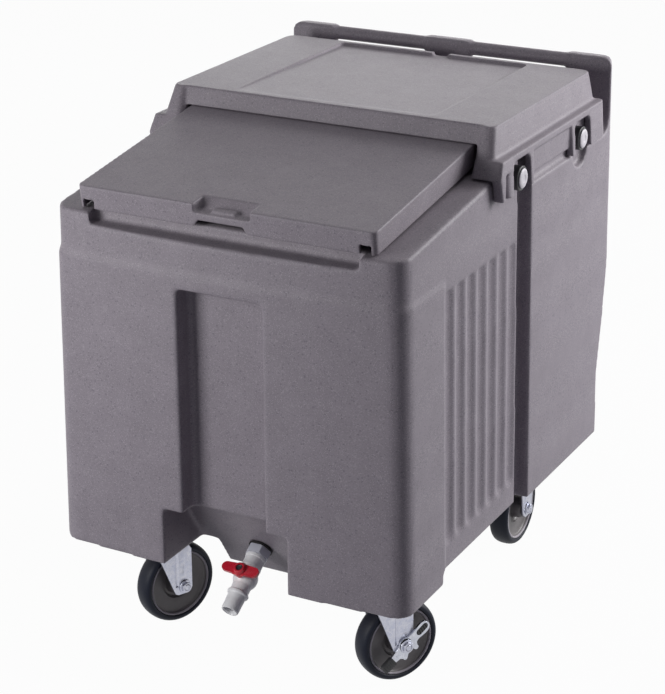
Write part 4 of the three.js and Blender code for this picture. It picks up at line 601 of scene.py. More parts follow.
# %% Cast the tub
def mould(piece, voxel, smoothing, target_faces):
    """Cast a crisp form again as one soft skin."""
    voxel = voxel * 1
    apply_modifier(piece, "REMESH", mode="VOXEL", voxel_size=voxel)
    apply_modifier(piece, "SMOOTH", factor=0.5, iterations=smoothing)
    ratio = min(1, target_faces / (2 * len(piece.data.polygons)))
    if ratio < 1:
        apply_modifier(piece, "DECIMATE", ratio=ratio)
    only(piece)
    bpy.ops.object.shade_smooth()
    return piece


tub = mould(merged_copy("tub", "tub_shell", "foam_core"), 3 * MM, 6, 170000)
dress(tub, "granite", "tub", "granite", "tub_shell", "foam_core")

# %% [markdown]
# ## The hood
#
# The hood is a thinner moulding pinned over the rear of the tub, so its edges are a little tighter. It is
# cast in the same way with a finer voxel.

# %% Cast the hood
hood = mould(merged_copy("rear_hood", "hood"), 2 * MM, 4, 150000)
dress(hood, "granite", "tub", "granite", "hood")

# %% [markdown]
# ## Tools for turned and cut pieces
#
# Tyres, hubs, bolts, pipes and pins are all round, so they can be made from one outline that is spun about
# an axis. The outline is traced with one vertex that is extruded from corner to corner. It is drawn on the
# Z axis at the origin, and the finished piece is then laid in its place, which is applied to the mesh.
# Flat pieces such as the brake lever start as an outline too, which is filled and pulled up to a plate.

# %% Trace, spin, cut and place
def start_vertex(name, place):
    """A mesh of one vertex, left in edit mode. The place is in millimetres."""
    nothing()
    bpy.ops.mesh.primitive_plane_add(size=MM, location=(0, 0, 0))
    piece = bpy.context.object
    piece.name = name
    piece.data.name = name
    bpy.ops.object.mode_set(mode="EDIT")
    bpy.ops.mesh.select_mode(type="VERT")
    bpy.ops.mesh.select_all(action="SELECT")
    bpy.ops.mesh.merge(type="CENTER")
    bpy.ops.transform.translate(value=Vector(place) * MM)
    return piece


def trace(name, corners):
    """Extrude one vertex from corner to corner, and stay in edit mode."""
    piece = start_vertex(name, corners[0])
    for here, there in zip(corners, corners[1:]):
        step = (Vector(there) - Vector(here)) * MM
        bpy.ops.mesh.extrude_vertices_move(TRANSFORM_OT_translate={"value": step})
    bpy.ops.mesh.select_all(action="SELECT")
    bpy.ops.mesh.remove_doubles(threshold=0.01 * MM)
    return piece


def finish_edges(piece, width, segments=2, sharp_deg=35):
    if width:
        apply_modifier(piece, "BEVEL", width=width * MM, segments=segments, limit_method="ANGLE",
                       angle_limit=math.radians(sharp_deg), harden_normals=False)
    only(piece)
    bpy.ops.object.shade_smooth_by_angle(angle=math.radians(38))
    return piece


def lathe(name, outline, steps=64, edge=0.0):
    """Spin an outline of (radius, height) corners in millimetres about the Z axis."""
    piece = trace(name, [(radius, 0, height) for radius, height in outline])
    bpy.ops.mesh.select_all(action="SELECT")
    bpy.ops.mesh.spin(steps=steps, angle=math.tau, center=(0, 0, 0), axis=(0, 0, 1))
    bpy.ops.mesh.select_all(action="SELECT")
    bpy.ops.mesh.remove_doubles(threshold=0.01 * MM)
    bpy.ops.mesh.normals_make_consistent(inside=False)
    bpy.ops.object.mode_set(mode="OBJECT")
    return finish_edges(piece, edge)


def plate(name, outline, low, high, edge=0.5):
    """Fill an outline of (x, y) corners and pull it up from one height to another."""
    corners = [(x, y, low) for x, y in outline]
    piece = trace(name, corners + corners[:1])
    bpy.ops.mesh.edge_face_add()
    bpy.ops.mesh.extrude_region_move(TRANSFORM_OT_translate={"value": (0, 0, (high - low) * MM)})
    bpy.ops.mesh.select_all(action="SELECT")
    bpy.ops.mesh.normals_make_consistent(inside=False)
    bpy.ops.object.mode_set(mode="OBJECT")
    return finish_edges(piece, edge)


def arc(centre_x, centre_y, radius, from_deg, to_deg, steps=8):
    turns = [math.radians(from_deg + (to_deg - from_deg) * i / steps) for i in range(steps + 1)]
    return [(centre_x + radius * math.cos(t), centre_y + radius * math.sin(t)) for t in turns]


def combine(piece, tool, operation):
    """Join a tool to a piece, or cut it out, and remove the tool."""
    apply_modifier(piece, "BOOLEAN", operation=operation, solver="EXACT", object=tool)
    bpy.data.objects.remove(tool)
    return piece


def lay(piece, matrix):
    only(piece)
    piece.matrix_world = matrix
    bpy.ops.object.transform_apply(location=True, rotation=True, scale=True)
    return piece


def duplicate(piece, name):
    only(piece)
    bpy.ops.object.duplicate(linked=False)
    made = bpy.context.object
    made.name = name
    made.data.name = name
    return made


def shift(x, y, z):
    return Matrix.Translation(Vector((x, y, z)) * MM)


print("turning and cutting tools ready")

# %% [markdown]
# ## The sliding lid
#
# The lid is a shallow tray upside down, with a finger grip sunk into its front edge. Under the grip the
# apron's lower edge steps up with sloped ends, so that fingers reach below it. The step is traced in the
# plane of the apron, cut out of the crisp form, and cast with it.

# %% Cast the lid
lid_slope = Matrix.Translation((0, -0.358, 0.719)) @ Matrix.Rotation(math.radians(7.65), 4, "X")
lid_form = merged_copy("lid_tray", "sliding_lid")
step_outline = [(-50, -40), (-39, -24.5), (31, -24.5), (42, -40)]
apron_step = plate("apron_step", step_outline, -8, 3, 0)
lay(apron_step, lid_slope @ Matrix.Rotation(math.pi / 2, 4, "X"))
combine(lid_form, apron_step, "DIFFERENCE")
lid = mould(lid_form, 1.6 * MM, 4, 120000)
dress(lid, "granite", "lid", "granite", "sliding_lid")

# %% [markdown]
# ## Casters: the wheel
#
# Each wheel is a soft tyre moulded round a hard nylon hub. The tyre's tread is a shallow curve that rolls
# over into flat sides, and the hub has a dished face. A thin pale ring on the hub's rim is a painted highlight
# for the light that the rim's edge catches. One outline each, spun in 96 steps, gives them. The bench frame
# has the axle along Z, and X points down to the floor.

# %% Turn the tyre and the hub
WHEEL_R = 63.5
tyre_side = [(52.8, 13.6), (53.6, 15.2), (55.2, 16.0), (57.2, 15.9), (59.2, 15.0), (61.0, 13.0), (62.3, 10.2),
             (63.1, 6.8), (63.45, 3.2)]
tyre_outline = tyre_side + [(WHEEL_R, 0)] + [(r, -h) for r, h in reversed(tyre_side)] + tyre_side[:1]
bench_tyre = lathe("bench_tyre", tyre_outline, 96)

hub_side = [(52.5, 12.6), (49.4, 12.6), (48.8, 10.6), (47.0, 9.0), (44.0, 8.4),
            (34.0, 8.0), (27.6, 7.8), (26.4, 7.2), (25.4, 4.6), (23.4, 3.0), (19.6, 3.0), (18.2, 5.4), (17.6, 11.0),
            (16.6, 19.0), (15.6, 20.6), (14.2, 21.0), (8.4, 21.0)]
hub_outline = hub_side + [(r, -h) for r, h in reversed(hub_side)] + hub_side[:1]
bench_hub = lathe("bench_hub", hub_outline, 96)
# A thin pale ring on the hub's rim: its pale finish is a painted highlight where the rim's edge catches light.
ring_outline = [(49.3, 12.4), (49.5, 13.6), (50.2, 14.5), (51.2, 14.7), (52.2, 14.3), (52.6, 13.4), (52.5, 12.4)]
bench_rim_highlight_ring = lathe("bench_rim_highlight_ring", ring_outline + ring_outline[:1], 96)
print("tyre and hub:", len(bench_tyre.data.polygons), len(bench_hub.data.polygons), "faces")

# %% [markdown]
# ## Casters: the axle bolt and its nut
#
# A hexagon is a cylinder with six sides. On a real bolt its corners are rounded off by a cone, which comes
# from cutting the hexagon with a wide spun cup, and a pressed washer is part of the head.

# %% Make the bolt and the nut
HEX_FLATS = 15
hexagon_corners = [(HEX_FLATS / math.sqrt(3) * math.cos(math.tau * i / 6), HEX_FLATS / math.sqrt(3) * math.sin(math.tau * i / 6))
                   for i in range(6)]


def hex_head(name, low, high):
    """A chamfered hexagon on a pressed washer, with its top at the greater height."""
    head = plate(name, hexagon_corners, low + 1.3, high, 0)
    cone = lathe(name + "_cone", [(0, low - 1), (12, low - 1), (12, high - 3.1), (6.9, high + 0.3), (0, high + 0.3)], 48)
    combine(head, cone, "INTERSECT")
    washer = lathe(name + "_washer", [(0, low), (10.2, low), (10.6, low + 0.5), (10.2, low + 1.3), (7.9, low + 1.8), (0, low + 1.8)], 48)
    combine(head, washer, "UNION")
    return finish_edges(head, 0.25)


def axle_bolt(name, nut_lift):
    bolt = hex_head(name, 26.8, 32.8)
    lay(bolt, Matrix.Rotation(math.pi, 4, "X"))
    tip = 33.4 + nut_lift
    shank = lathe(name + "_shank", [(0, -28), (4.9, -28), (4.9, tip - 1.0), (4.2, tip), (0, tip)], 32)
    return finish_edges(combine(bolt, shank, "UNION"), 0)


def axle_nut(name, nut_lift):
    nut = hex_head(name, 26.8 + nut_lift, 32.8 + nut_lift)
    bore = lathe(name + "_bore", [(0, 20), (5.2, 20), (5.2, 40 + nut_lift), (0, 40 + nut_lift)], 32)
    return finish_edges(combine(nut, bore, "DIFFERENCE"), 0)


LEVER_ROOM = 3.8
bench_bolt, bench_long_bolt = axle_bolt("bench_bolt", 0), axle_bolt("bench_long_bolt", LEVER_ROOM)
bench_nut, bench_high_nut = axle_nut("bench_nut", 0), axle_nut("bench_high_nut", LEVER_ROOM)
print("bolt and nut:", len(bench_bolt.data.polygons), len(bench_nut.data.polygons), "faces")

# %% [markdown]
# ## Casters: the fork
#
# A caster's fork is one strip of steel, pressed over the wheel with round bends and a stiffening groove
# down each leg, and then zinc plated. It is made in that order here: the folded path is traced, pulled out
# to a sheet, cut to its taper by planes, grooved by an inset, and only then given its thickness. The foot
# is round because the last cuts are planes that touch one circle about the axle.

# %% Fold the forks
SHEET = 3.5
GROOVE_AT = {True: -14, False: -12}  # from the axle, along the tread, of swivel and rigid forks


def cut_sheet(point, outward):
    bpy.ops.mesh.select_all(action="SELECT")
    bpy.ops.mesh.bisect(plane_co=Vector(point) * MM, plane_no=outward, clear_outer=True)


def crease_sheet(point, across):
    bpy.ops.mesh.select_all(action="SELECT")
    bpy.ops.mesh.bisect(plane_co=Vector(point) * MM, plane_no=across)


def folded_fork(name, trail, crown, sides):
    """Kingpin on the Z axis and axle along X at the trail. The sides are the leg's outline seen along the axle,
    measured from the axle, and run round the foot from the front of the crown to its rear."""
    half, bend, mid = 24.75, 7.5, crown - SHEET / 2
    front, rear = min(y for y, z in sides), max(y for y, z in sides)
    path = [(-half, trail + front, WHEEL_R - 20), (-half, trail + front, mid - bend)]
    path += [(x, trail + front, z) for x, z in arc(-half + bend, mid - bend, bend, 180, 90, 5)][1:]
    path += [(x, trail + front, z) for x, z in arc(half - bend, mid - bend, bend, 90, 0, 5)]
    path += [(half, trail + front, WHEEL_R - 20)]
    piece = trace(name, path)
    bpy.ops.mesh.extrude_region_move(TRANSFORM_OT_translate={"value": (0, (rear - front) * MM, 0)})
    for (y0, z0), (y1, z1) in zip(sides, sides[1:]):
        cut_sheet((0, trail + y0, WHEEL_R + z0), Vector((0, z1 - z0, y0 - y1)).normalized())
    groove = trail + GROOVE_AT[trail > 0]
    for offset in (-3.2, 3.2):
        crease_sheet((0, groove + offset, WHEEL_R), (0, 1, 0))
    for height in (WHEEL_R + 2, mid - bend):
        crease_sheet((0, 0, height), (0, 0, 1))
    for side in (-1, 1):
        count = pick("FACE", lambda f: f.calc_center_median().x * side > 24 * MM
                     and (WHEEL_R + 2) * MM < f.calc_center_median().z < (mid - bend) * MM
                     and abs(f.calc_center_median().y - groove * MM) < 3.2 * MM)
        if count:
            bpy.ops.mesh.inset(thickness=1.1 * MM)
            bpy.ops.transform.translate(value=(-side * 1.8 * MM, 0, 0))
    bpy.ops.mesh.select_all(action="SELECT")
    bpy.ops.mesh.remove_doubles(threshold=0.01 * MM)
    bpy.ops.mesh.normals_make_consistent(inside=False)
    bpy.ops.object.mode_set(mode="OBJECT")
    apply_modifier(piece, "SOLIDIFY", thickness=SHEET * MM, offset=0)
    hole = lathe(name + "_hole", [(0, -40), (5.3, -40), (5.3, 40), (0, 40)], 24)
    lay(hole, shift(0, trail, WHEEL_R) @ Matrix.Rotation(math.pi / 2, 4, "Y"))
    combine(piece, hole, "DIFFERENCE")
    return finish_edges(piece, 0.5, 2, 40)


SWIVEL_TRAIL, SWIVEL_CROWN, RIGID_CROWN = 40, 151.4, 164.0
swivel_sides = [(-56, 88), (-20, -3), (-17.5, -8.5), (-12.5, -11.5), (6, -12), (10.5, -9.5), (13.5, -4), (13.5, 60), (-4, 88)]
rigid_sides = [(-30, 100), (-17, -1), (-13.5, -8), (-7, -13), (7, -13), (13.5, -8), (17, -1), (30, 100)]
bench_swivel_fork = folded_fork("bench_swivel_fork", SWIVEL_TRAIL, SWIVEL_CROWN, swivel_sides)
bench_rigid_fork = folded_fork("bench_rigid_fork", 0, RIGID_CROWN, rigid_sides)
print("forks:", len(bench_swivel_fork.data.polygons), len(bench_rigid_fork.data.polygons), "faces")

# %% [markdown]
# ## Casters: the mounting plate and ball race
#
# The plate that is bolted under the tub starts as a box at its real size, and its upright edges are
# bevelled round. Four bolt heads are turned once and copied. The front plates also carry the race, two
# pressed rings with a groove between them, in which the balls run when the caster swivels.

# %% Make the plates
PLATE_TOP, PLATE_LOW = 167.7, 163.7


def mounting_plate(name, with_race):
    nothing()
    bpy.ops.mesh.primitive_cube_add(size=MM, location=(0, 0, (PLATE_TOP + PLATE_LOW) / 2 * MM),
                                    scale=(78, 92, PLATE_TOP - PLATE_LOW))
    piece = bpy.context.object
    piece.name = name
    piece.data.name = name
    bpy.ops.object.transform_apply(location=True, rotation=True, scale=True)
    bpy.ops.object.mode_set(mode="EDIT")
    pick("EDGE", lambda e: abs(e.verts[0].co.z - e.verts[1].co.z) > MM)
    bpy.ops.mesh.bevel(offset=8 * MM, segments=6)
    bpy.ops.object.mode_set(mode="OBJECT")
    finish_edges(piece, 0.6)
    heads = []
    for x in (-27, 27):
        for y in (-34, 34):
            head = lathe(name + "_bolt", [(0, PLATE_LOW + 0.2), (6.5, PLATE_LOW + 0.2), (6.5, PLATE_LOW - 3.4),
                                          (5.8, PLATE_LOW - 4.5), (3.6, PLATE_LOW - 5), (0, PLATE_LOW - 5)], 18)
            heads.append(lay(head, shift(x, y, 0)))
    if with_race:
        ring = [(7.3, 0.2), (25.2, 0.2), (26.6, -0.8), (27, -2.4), (26.6, -4.6), (25.4, -5.4), (25.4, -6.2), (26.8, -7.0),
                (27, -8.8), (26.2, -10.8), (23.6, -12), (7.3, -12)]
        heads.append(lathe(name + "_race", [(r, PLATE_LOW + h) for r, h in ring + ring[:1]], 48))
    only(piece)
    for head in heads:
        head.select_set(True)
    bpy.ops.object.join()
    return piece


bench_swivel_plate = mounting_plate("bench_swivel_plate", True)
bench_rigid_plate = mounting_plate("bench_rigid_plate", False)
print("plates:", len(bench_swivel_plate.data.polygons), len(bench_rigid_plate.data.polygons), "faces")

# %% [markdown]
# ## Casters: four of each, in their places
#
# Every caster is a copy of these bench pieces with its own mesh. The front ones stand turned as in the
# photograph, the right one by 32 degrees and the left one by 23, and their wheels trail behind the kingpin.

# %% Set the casters under the tub
FRONT_CASTER_Y, REAR_CASTER_Y = -372 + 99, 372 - 129
axle_up = Matrix.Rotation(math.pi / 2, 4, "Y")
caster_rows = [("front_right", 186, FRONT_CASTER_Y, -32, SWIVEL_TRAIL), ("front_left", -186, FRONT_CASTER_Y, -23, SWIVEL_TRAIL),
               ("rear_right", 183, REAR_CASTER_Y, 0, 0), ("rear_left", -183, REAR_CASTER_Y, 0, 0)]
for place, x, y, turn, trail in caster_rows:
    node = "caster_" + place + "_"
    stand = shift(x, y, 0) @ Matrix.Rotation(math.radians(turn), 4, "Z")
    wheel = stand @ shift(0, trail, WHEEL_R) @ axle_up
    swivels = trail > 0
    frame_body = place + "_swivel" if swivels else "tub"
    wheel_body = place + "_wheel"
    braked = place == "front_right"
    bolt, nut = (bench_long_bolt, bench_high_nut) if braked else (bench_bolt, bench_nut)
    fork = bench_swivel_fork if swivels else bench_rigid_fork
    top = bench_swivel_plate if swivels else bench_rigid_plate
    dress(lay(duplicate(bench_tyre, place + "_tyre"), wheel), "tyre", wheel_body, "tyre", node + "tyre")
    dress(lay(duplicate(bench_hub, place + "_hub"), wheel), "hub", wheel_body, "hub", node + "hub")
    # The pale ring on the hub's rim is a painted highlight.
    dress(lay(duplicate(bench_rim_highlight_ring, place + "_rim_highlight_ring"), wheel), "rim_highlight_ring", wheel_body, "hub")
    dress(lay(duplicate(bolt, place + "_axle_bolt"), wheel), "zinc", frame_body, "zinc", node + "axle")
    dress(lay(duplicate(nut, place + "_axle_nut"), wheel), "zinc", frame_body, "zinc", node + "nut")
    dress(lay(duplicate(fork, place + "_fork"), stand), "zinc", frame_body, "zinc", node + "fork")
    if swivels:
        dress(lay(duplicate(top, place + "_plate"), shift(x, y, 0)), "zinc", "tub", "zinc", node + "plate")
    else:
        dress(lay(duplicate(top, place + "_plate"), shift(x, y, 0)), "zinc", "tub", "zinc")
for bench in (bench_tyre, bench_hub, bench_rim_highlight_ring, bench_bolt, bench_long_bolt, bench_nut, bench_high_nut, bench_swivel_fork,
              bench_rigid_fork, bench_swivel_plate, bench_rigid_plate):
    bpy.data.objects.remove(bench)

# %% [markdown]
# ## The brake lever
#
# The right front caster has a side brake. Its lever is a chromed pressing that rocks on the axle: a narrow
# arm with a black rubber pad at its low end, a round middle with a dark cam, two small wings, and a loop
# at its high end with a ribbed black grip to tread on. The outline is traced once round, the eye and the
# cam's hole are cut out of the plate, and a bevel gives the pressed edge.

# %% Press the lever
LEVER_LOW, LEVER_HIGH = 26.8, 30.3
lever_outline = [(-46.5, -5.2), (-30, -5.6), (-19, -7.8)]
lever_outline += arc(-12.5, -13.5, 3.6, 160, 330, 6)
lever_outline += arc(0, 0, 13.2, 248, 292, 4)
lever_outline += arc(9.5, -15, 3.8, 200, 380, 6)
lever_outline += [(15.4, -8.6), (21, -7.4), (27, -8.6), (34, -9.6)]
lever_outline += arc(37.4, 0, 9.5, -90, 90, 10)
lever_outline += [(34, 9.6), (27, 8.8), (20, 8.2)]
lever_outline += arc(0, 0, 13.2, 42, 140, 8)
lever_outline += [(-19, 6.6), (-30, 5.2), (-46.5, 5.2)]
brake_lever = plate("brake_lever_arm", lever_outline, LEVER_LOW, LEVER_HIGH, 0)
eye_outline = arc(39.4, 0, 4.9, -90, 90, 8) + arc(27.6, 0, 4.9, 90, 270, 8)
combine(brake_lever, plate("lever_eye", eye_outline, LEVER_LOW - 2, LEVER_HIGH + 2, 0), "DIFFERENCE")
cam_hole = lathe("cam_hole", [(0, 20), (10, 20), (10, 40), (0, 40)], 40)
combine(brake_lever, lay(cam_hole, shift(0.8, 2.6, 0)), "DIFFERENCE")
finish_edges(brake_lever, 0.8, 3)
cam = lathe("brake_cam", [(5.4, LEVER_LOW + 0.2), (9.8, LEVER_LOW + 0.2), (9.8, LEVER_HIGH - 1.2), (9.0, LEVER_HIGH - 0.6),
                          (7.6, LEVER_HIGH - 1.6), (5.4, LEVER_HIGH - 1.6), (5.4, LEVER_LOW + 0.2)], 40)
lay(cam, shift(0.8, 2.6, 0))
grip = plate("brake_grip", arc(38.8, 0, 4.4, -90, 90, 8) + arc(28.2, 0, 4.4, 90, 270, 8), LEVER_LOW + 0.3, LEVER_HIGH + 0.4, 0)
for rib in range(4):
    groove = plate("grip_groove", [(26.4 + rib * 4, -6), (27.8 + rib * 4, -6), (29.8 + rib * 4, 6), (28.4 + rib * 4, 6)],
                   LEVER_HIGH - 1.2, LEVER_HIGH + 2, 0)
    combine(grip, groove, "DIFFERENCE")
finish_edges(grip, 0.3)
print("lever:", len(brake_lever.data.polygons), "faces")

# %% Mould its pad and lay the brake on the axle
pad_outline = arc(-45.2, -3.2, 4, 180, 270, 5) + arc(-30.4, -4.2, 3.4, 270, 340, 4) + arc(-30.4, 4.4, 3.4, 20, 90, 4)
pad_outline += arc(-45.2, 3.6, 4, 90, 180, 5)
brake_pad = plate("brake_rubber_pad", pad_outline, LEVER_LOW - 0.1, LEVER_HIGH + 2.6, 0)
for rib in range(5):
    groove = plate("pad_groove", [(-46 + rib * 3.6, -10), (-44.8 + rib * 3.6, -10), (-44.8 + rib * 3.6, 10), (-46 + rib * 3.6, 10)],
                   LEVER_HIGH + 1.6, LEVER_HIGH + 4, 0)
    combine(brake_pad, groove, "DIFFERENCE")
sleeve = plate("pad_sleeve", [(-47, -5.5), (-20, -5.9), (-20, 5.9), (-47, 5.5)], LEVER_LOW - 1, LEVER_HIGH + 0.2, 0)
combine(brake_pad, sleeve, "DIFFERENCE")
finish_edges(brake_pad, 0.4)
LEVER_TILT = math.radians(38)
right_stand = shift(186, FRONT_CASTER_Y, 0) @ Matrix.Rotation(math.radians(-32), 4, "Z")
brake_stand = right_stand @ shift(0, SWIVEL_TRAIL, WHEEL_R) @ axle_up @ Matrix.Rotation(math.pi / 2 + LEVER_TILT, 4, "Z")
dress(lay(brake_lever, brake_stand), "chrome", "brake", "chrome", "brake_lever")
dress(lay(brake_pad, brake_stand), "black_plastic", "brake", "black_plastic", "brake_pad")
dress(lay(cam, brake_stand), "black_plastic", "brake", "black_plastic")
dress(lay(grip, brake_stand), "black_plastic", "brake", "black_plastic")

# %% [markdown]
# ## The drain
#
# The ice melts down through a threaded tube in the sloping panel. Outside come a black gasket, a grey
# nut, a white ball valve with a red wing handle, and an open hose nozzle. All of them share one slanting
# axis, so they are turned upright about Z and laid on it together. Y on the bench is the side that faces up.

# %% Turn the drain's pipes
DRAIN_OUT, DRAIN_UP = Vector((0, -0.838671, -0.544639)), Vector((0, -0.544639, 0.838671))
drain_stand = Matrix.Translation((0, -0.265517, 0.173)) @ Matrix((
    (1, 0, 0, 0), (0, DRAIN_UP.y, DRAIN_OUT.y, 0), (0, DRAIN_UP.z, DRAIN_OUT.z, 0), (0, 0, 0, 1)))
BALL_AT, HANDLE_LOW = 55.95, 22.8
gasket_ring = lathe("drain_gasket_ring", [(13.4, 0.4), (17.8, 0.4), (18.5, 1.2), (18.5, 3.5), (17.8, 4.3), (13.4, 4.3), (13.4, 0.4)])
nut_corners = [(19.05 * math.cos(math.tau * i / 6), 19.05 * math.sin(math.tau * i / 6)) for i in range(6)]
drain_nut = plate("drain_hex_nut", nut_corners, 4.6, 17.6, 0)
nut_cone = lathe("nut_cone", [(0, 3), (16.4, 3), (19.6, 6.6), (19.6, 15.6), (16.4, 19.2), (0, 19.2)], 60)
combine(drain_nut, nut_cone, "INTERSECT")
combine(drain_nut, lathe("nut_bore", [(0, 0), (13.3, 0), (13.3, 30), (0, 30)], 48), "DIFFERENCE")
finish_edges(drain_nut, 0.5)
bulge = [(18.5 * math.sin(math.radians(a)), BALL_AT - 18.5 * math.cos(math.radians(a))) for a in range(58, 135, 7)]
valve_outline = [(13.4, 17.9), (15.0, 17.9), (15.6, 18.6), (15.6, 22.4), (14.9, 23.2), (14.9, 35.2), (15.5, 36.0),
                 (15.5, 38.6), (14.8, 39.6), (14.4, 43.0)]
valve_outline += [(r, h) for r, h in bulge if h > 45]
valve_outline += [(14.2, 69.6), (14.0, 79.4), (13.5, 79.9), (7.6, 79.9), (7.6, 68.3), (13.4, 68.3), (13.4, 17.9)]
valve_house = lathe("valve_house", valve_outline, 72)
neck = lathe("valve_neck", [(0, 5), (9.4, 5), (8.6, 18), (8, 19.4), (8, 22.1), (7.6, 22.5), (0, 22.5)], 40)
lay(neck, shift(0, 0, BALL_AT) @ Matrix.Rotation(-math.pi / 2, 4, "X"))
combine(valve_house, neck, "UNION")
ball_room = lathe("ball_room", [(0, -13.2), (6.6, -11.4), (11.4, -6.6), (13.2, 0), (11.4, 6.6), (6.6, 11.4), (0, 13.2)], 32)
combine(valve_house, lay(ball_room, shift(0, 0, BALL_AT)), "DIFFERENCE")
stem_room = lathe("stem_room", [(0, 5), (5.3, 5), (5.3, 30), (0, 30)], 32)
lay(stem_room, shift(0, 0, BALL_AT) @ Matrix.Rotation(-math.pi / 2, 4, "X"))
combine(valve_house, stem_room, "DIFFERENCE")
finish_edges(valve_house, 0)
nozzle_outline = [(9.5, 80.2), (15.2, 80.2), (16.1, 81.0), (16.4, 82.6), (15.8, 84.6), (14.2, 85.6), (13.6, 87.0),
                  (13.3, 97.0), (13.0, 109.6), (12.6, 111.4), (11.6, 112.2), (10.2, 111.8), (9.5, 110.6), (9.5, 80.2)]
hose_tail = lathe("hose_tail", nozzle_outline, 64)
print("valve:", len(valve_house.data.polygons), "faces")

# %% [markdown]
# The handle is one red moulding: a round hub with a black recess for the stem, two wings that droop a
# little towards their ends, and a skirt below them. The wings are a flat traced plate, and an inset of the
# underside, pushed up into it, leaves a rim, as a hollow moulding has.

# %% Mould the red handle
wing_outline = arc(22.4, 0, 7.6, -90, 90, 10) + [(11, 8.3), (9, 8.5)] + arc(0, 0, 10.6, 52, 128, 6) + [(-9, 8.5), (-11, 8.3)]
wing_outline += arc(-22.4, 0, 7.6, 90, 270, 10) + [(-11, -8.3), (-9, -8.5)] + arc(0, 0, 10.6, 232, 308, 6) + [(9, -8.5), (11, -8.3)]
red_wings = plate("red_wings", wing_outline, HANDLE_LOW, HANDLE_LOW + 5, 0)
only(red_wings)
bpy.ops.object.mode_set(mode="EDIT")
pick("FACE", lambda f: f.normal.z < -0.9)
bpy.ops.mesh.inset(thickness=2.0 * MM)
bpy.ops.transform.translate(value=(0, 0, 2.6 * MM))
bpy.ops.object.mode_set(mode="OBJECT")
hub_boss = lathe("handle_boss", [(0, HANDLE_LOW), (10.2, HANDLE_LOW), (9.6, HANDLE_LOW + 6), (8.2, HANDLE_LOW + 9.4),
                                 (7.4, HANDLE_LOW + 10), (0, HANDLE_LOW + 10)], 48)
combine(red_wings, hub_boss, "UNION")
prong = plate("handle_prong", [(-9.4, 0.6), (9.4, 0.6), (1.6, 10.6), (-1.6, 10.6)], 0, 3.4, 0)
lay(prong, shift(0, -10.2, HANDLE_LOW + 4.4) @ Matrix.Rotation(-math.pi / 2 + 0.1, 4, "X"))
combine(red_wings, prong, "UNION")
combine(red_wings, lathe("stem_hole", [(0, 10), (5.3, 10), (5.3, 50), (0, 50)], 32), "DIFFERENCE")
finish_edges(red_wings, 0.7, 3)
stem = lathe("valve_stem", [(0, 9.4), (4.9, 9.4), (4.9, HANDLE_LOW + 8.2), (4.2, HANDLE_LOW + 8.8), (3.2, HANDLE_LOW + 8.0),
                            (0, HANDLE_LOW + 8.0)], 32)
ball = lathe("valve_ball_bored", [(0, -12), (4.6, -11.1), (8.5, -8.5), (11.1, -4.6), (12, 0), (11.1, 4.6), (8.5, 8.5),
                                  (4.6, 11.1), (0, 12)], 40)
through = lathe("ball_bore", [(0, -20), (7, -20), (7, 20), (0, 20)], 32)
lay(through, Matrix.Rotation(math.pi / 2, 4, "Y"))
combine(ball, through, "DIFFERENCE")
finish_edges(ball, 0.3)
side_up = shift(0, 0, BALL_AT) @ Matrix.Rotation(-math.pi / 2, 4, "X")
print("handle:", len(red_wings.data.polygons), "faces")

# %% Lay the drain on its axis
dress(lay(gasket_ring, drain_stand), "gasket", "tub", "gasket", "drain_gasket")
dress(lay(drain_nut, drain_stand), "grey_plastic", "tub", "grey_plastic", "drain_locknut")
dress(lay(valve_house, drain_stand), "white_pipe", "tub", "white_plastic", "valve_body")
dress(lay(hose_tail, drain_stand), "white_pipe", "tub", "white_plastic", "hose_nozzle")
dress(lay(red_wings, drain_stand @ side_up), "red_plastic", "valve", "red_plastic", "valve_handle")
dress(lay(stem, drain_stand @ side_up), "black_plastic", "valve", "black_plastic")
dress(lay(ball, drain_stand @ shift(0, 0, BALL_AT)), "white_pipe", "valve", "white_plastic", "valve_ball")

# %% [markdown]
# ## Hood pins
#
# Two white plastic pins on each side hold the hood on the tub. Each has a domed head over a black spacer.
# They are turned once and laid where the CAD pins are.

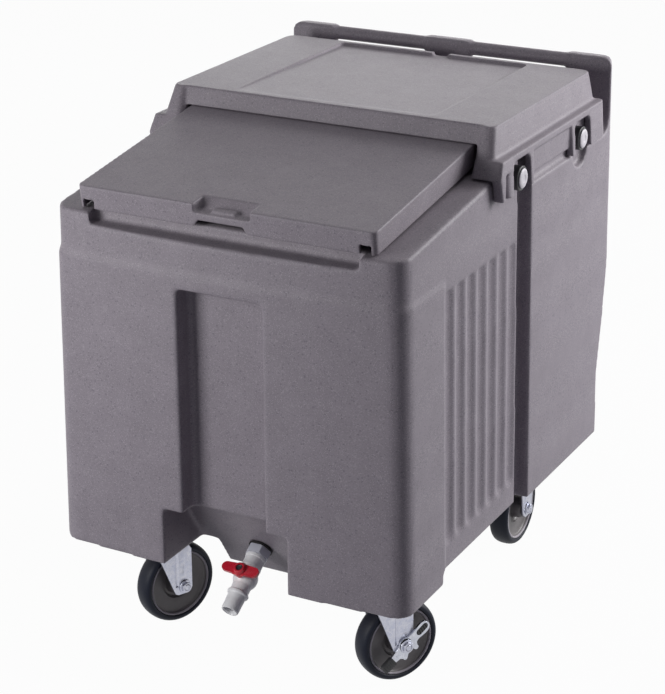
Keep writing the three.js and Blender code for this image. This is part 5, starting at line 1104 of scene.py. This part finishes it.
# %% Turn the pins and spacers
pin_outline = [(0, -24), (5.4, -24), (6, -23), (6, 0), (13.6, 0), (14.4, 0.5), (14.3, 1.4), (13.2, 2.2), (10.8, 2.7),
               (6.6, 2.9), (5.6, 2.7), (5.0, 2.2), (0, 2.1)]
for side, sign in (("right", 1), ("left", -1)):
    for end in ("front", "rear"):
        pin_low, pin_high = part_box("hood_pin_" + side + "_" + end)
        spacer_low, spacer_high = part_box("hood_pin_spacer_" + side + "_" + end)
        middle = (pin_low + pin_high) / 2
        face = (pin_high.x if sign > 0 else -pin_low.x) - 4.5 * MM
        outward = Matrix.Rotation(sign * math.pi / 2, 4, "Y")
        pin = lathe("pin_" + side + "_" + end, pin_outline, 56)
        lay(pin, Matrix.Translation((sign * face, middle.y, middle.z)) @ outward)
        dress(pin, "white_plastic", "tub", "white_plastic", "hood_pin_" + side + "_" + end)
        thick = (spacer_high.x - spacer_low.x) / MM
        reach = spacer_high.x if sign > 0 else -spacer_low.x
        ring = [(6.3, 0), (17.2, 0), (18, -0.8), (18, 0.8 - thick), (17.2, -thick), (6.3, -thick), (6.3, 0)]
        spacer = lathe("pin_spacer_" + side + "_" + end, ring, 56)
        lay(spacer, Matrix.Translation((sign * reach, middle.y, middle.z)) @ outward)
        dress(spacer, "black_plastic", "tub", "black_plastic", "hood_pin_spacer_" + side + "_" + end)

# %% [markdown]
# ## The rest of the CAD solids
#
# What isn't replaced is shown as it is, with the finish of its material slot.

# %% Finish the solids that stay
SLOT_FINISH = {"white_plastic": "white_plastic", "black_plastic": "black_plastic", "red_plastic": "red_plastic",
               "grey_plastic": "grey_plastic", "tyre": "tyre", "hub": "hub", "gasket": "gasket", "zinc": "zinc",
               "chrome": "chrome", "foam": "foam", "granite": "granite"}
slot_of = {row["node"]: row["material_slot"] for row in frame["record"]["subparts"]}
for label, solid in frame["nodes"].items():
    if solid.hide_render:
        continue
    solid.data.materials.clear()
    solid.data.materials.append(finishes[SLOT_FINISH[slot_of[label]]])
print("solids shown:", sum(not s.hide_render for s in frame["nodes"].values()))
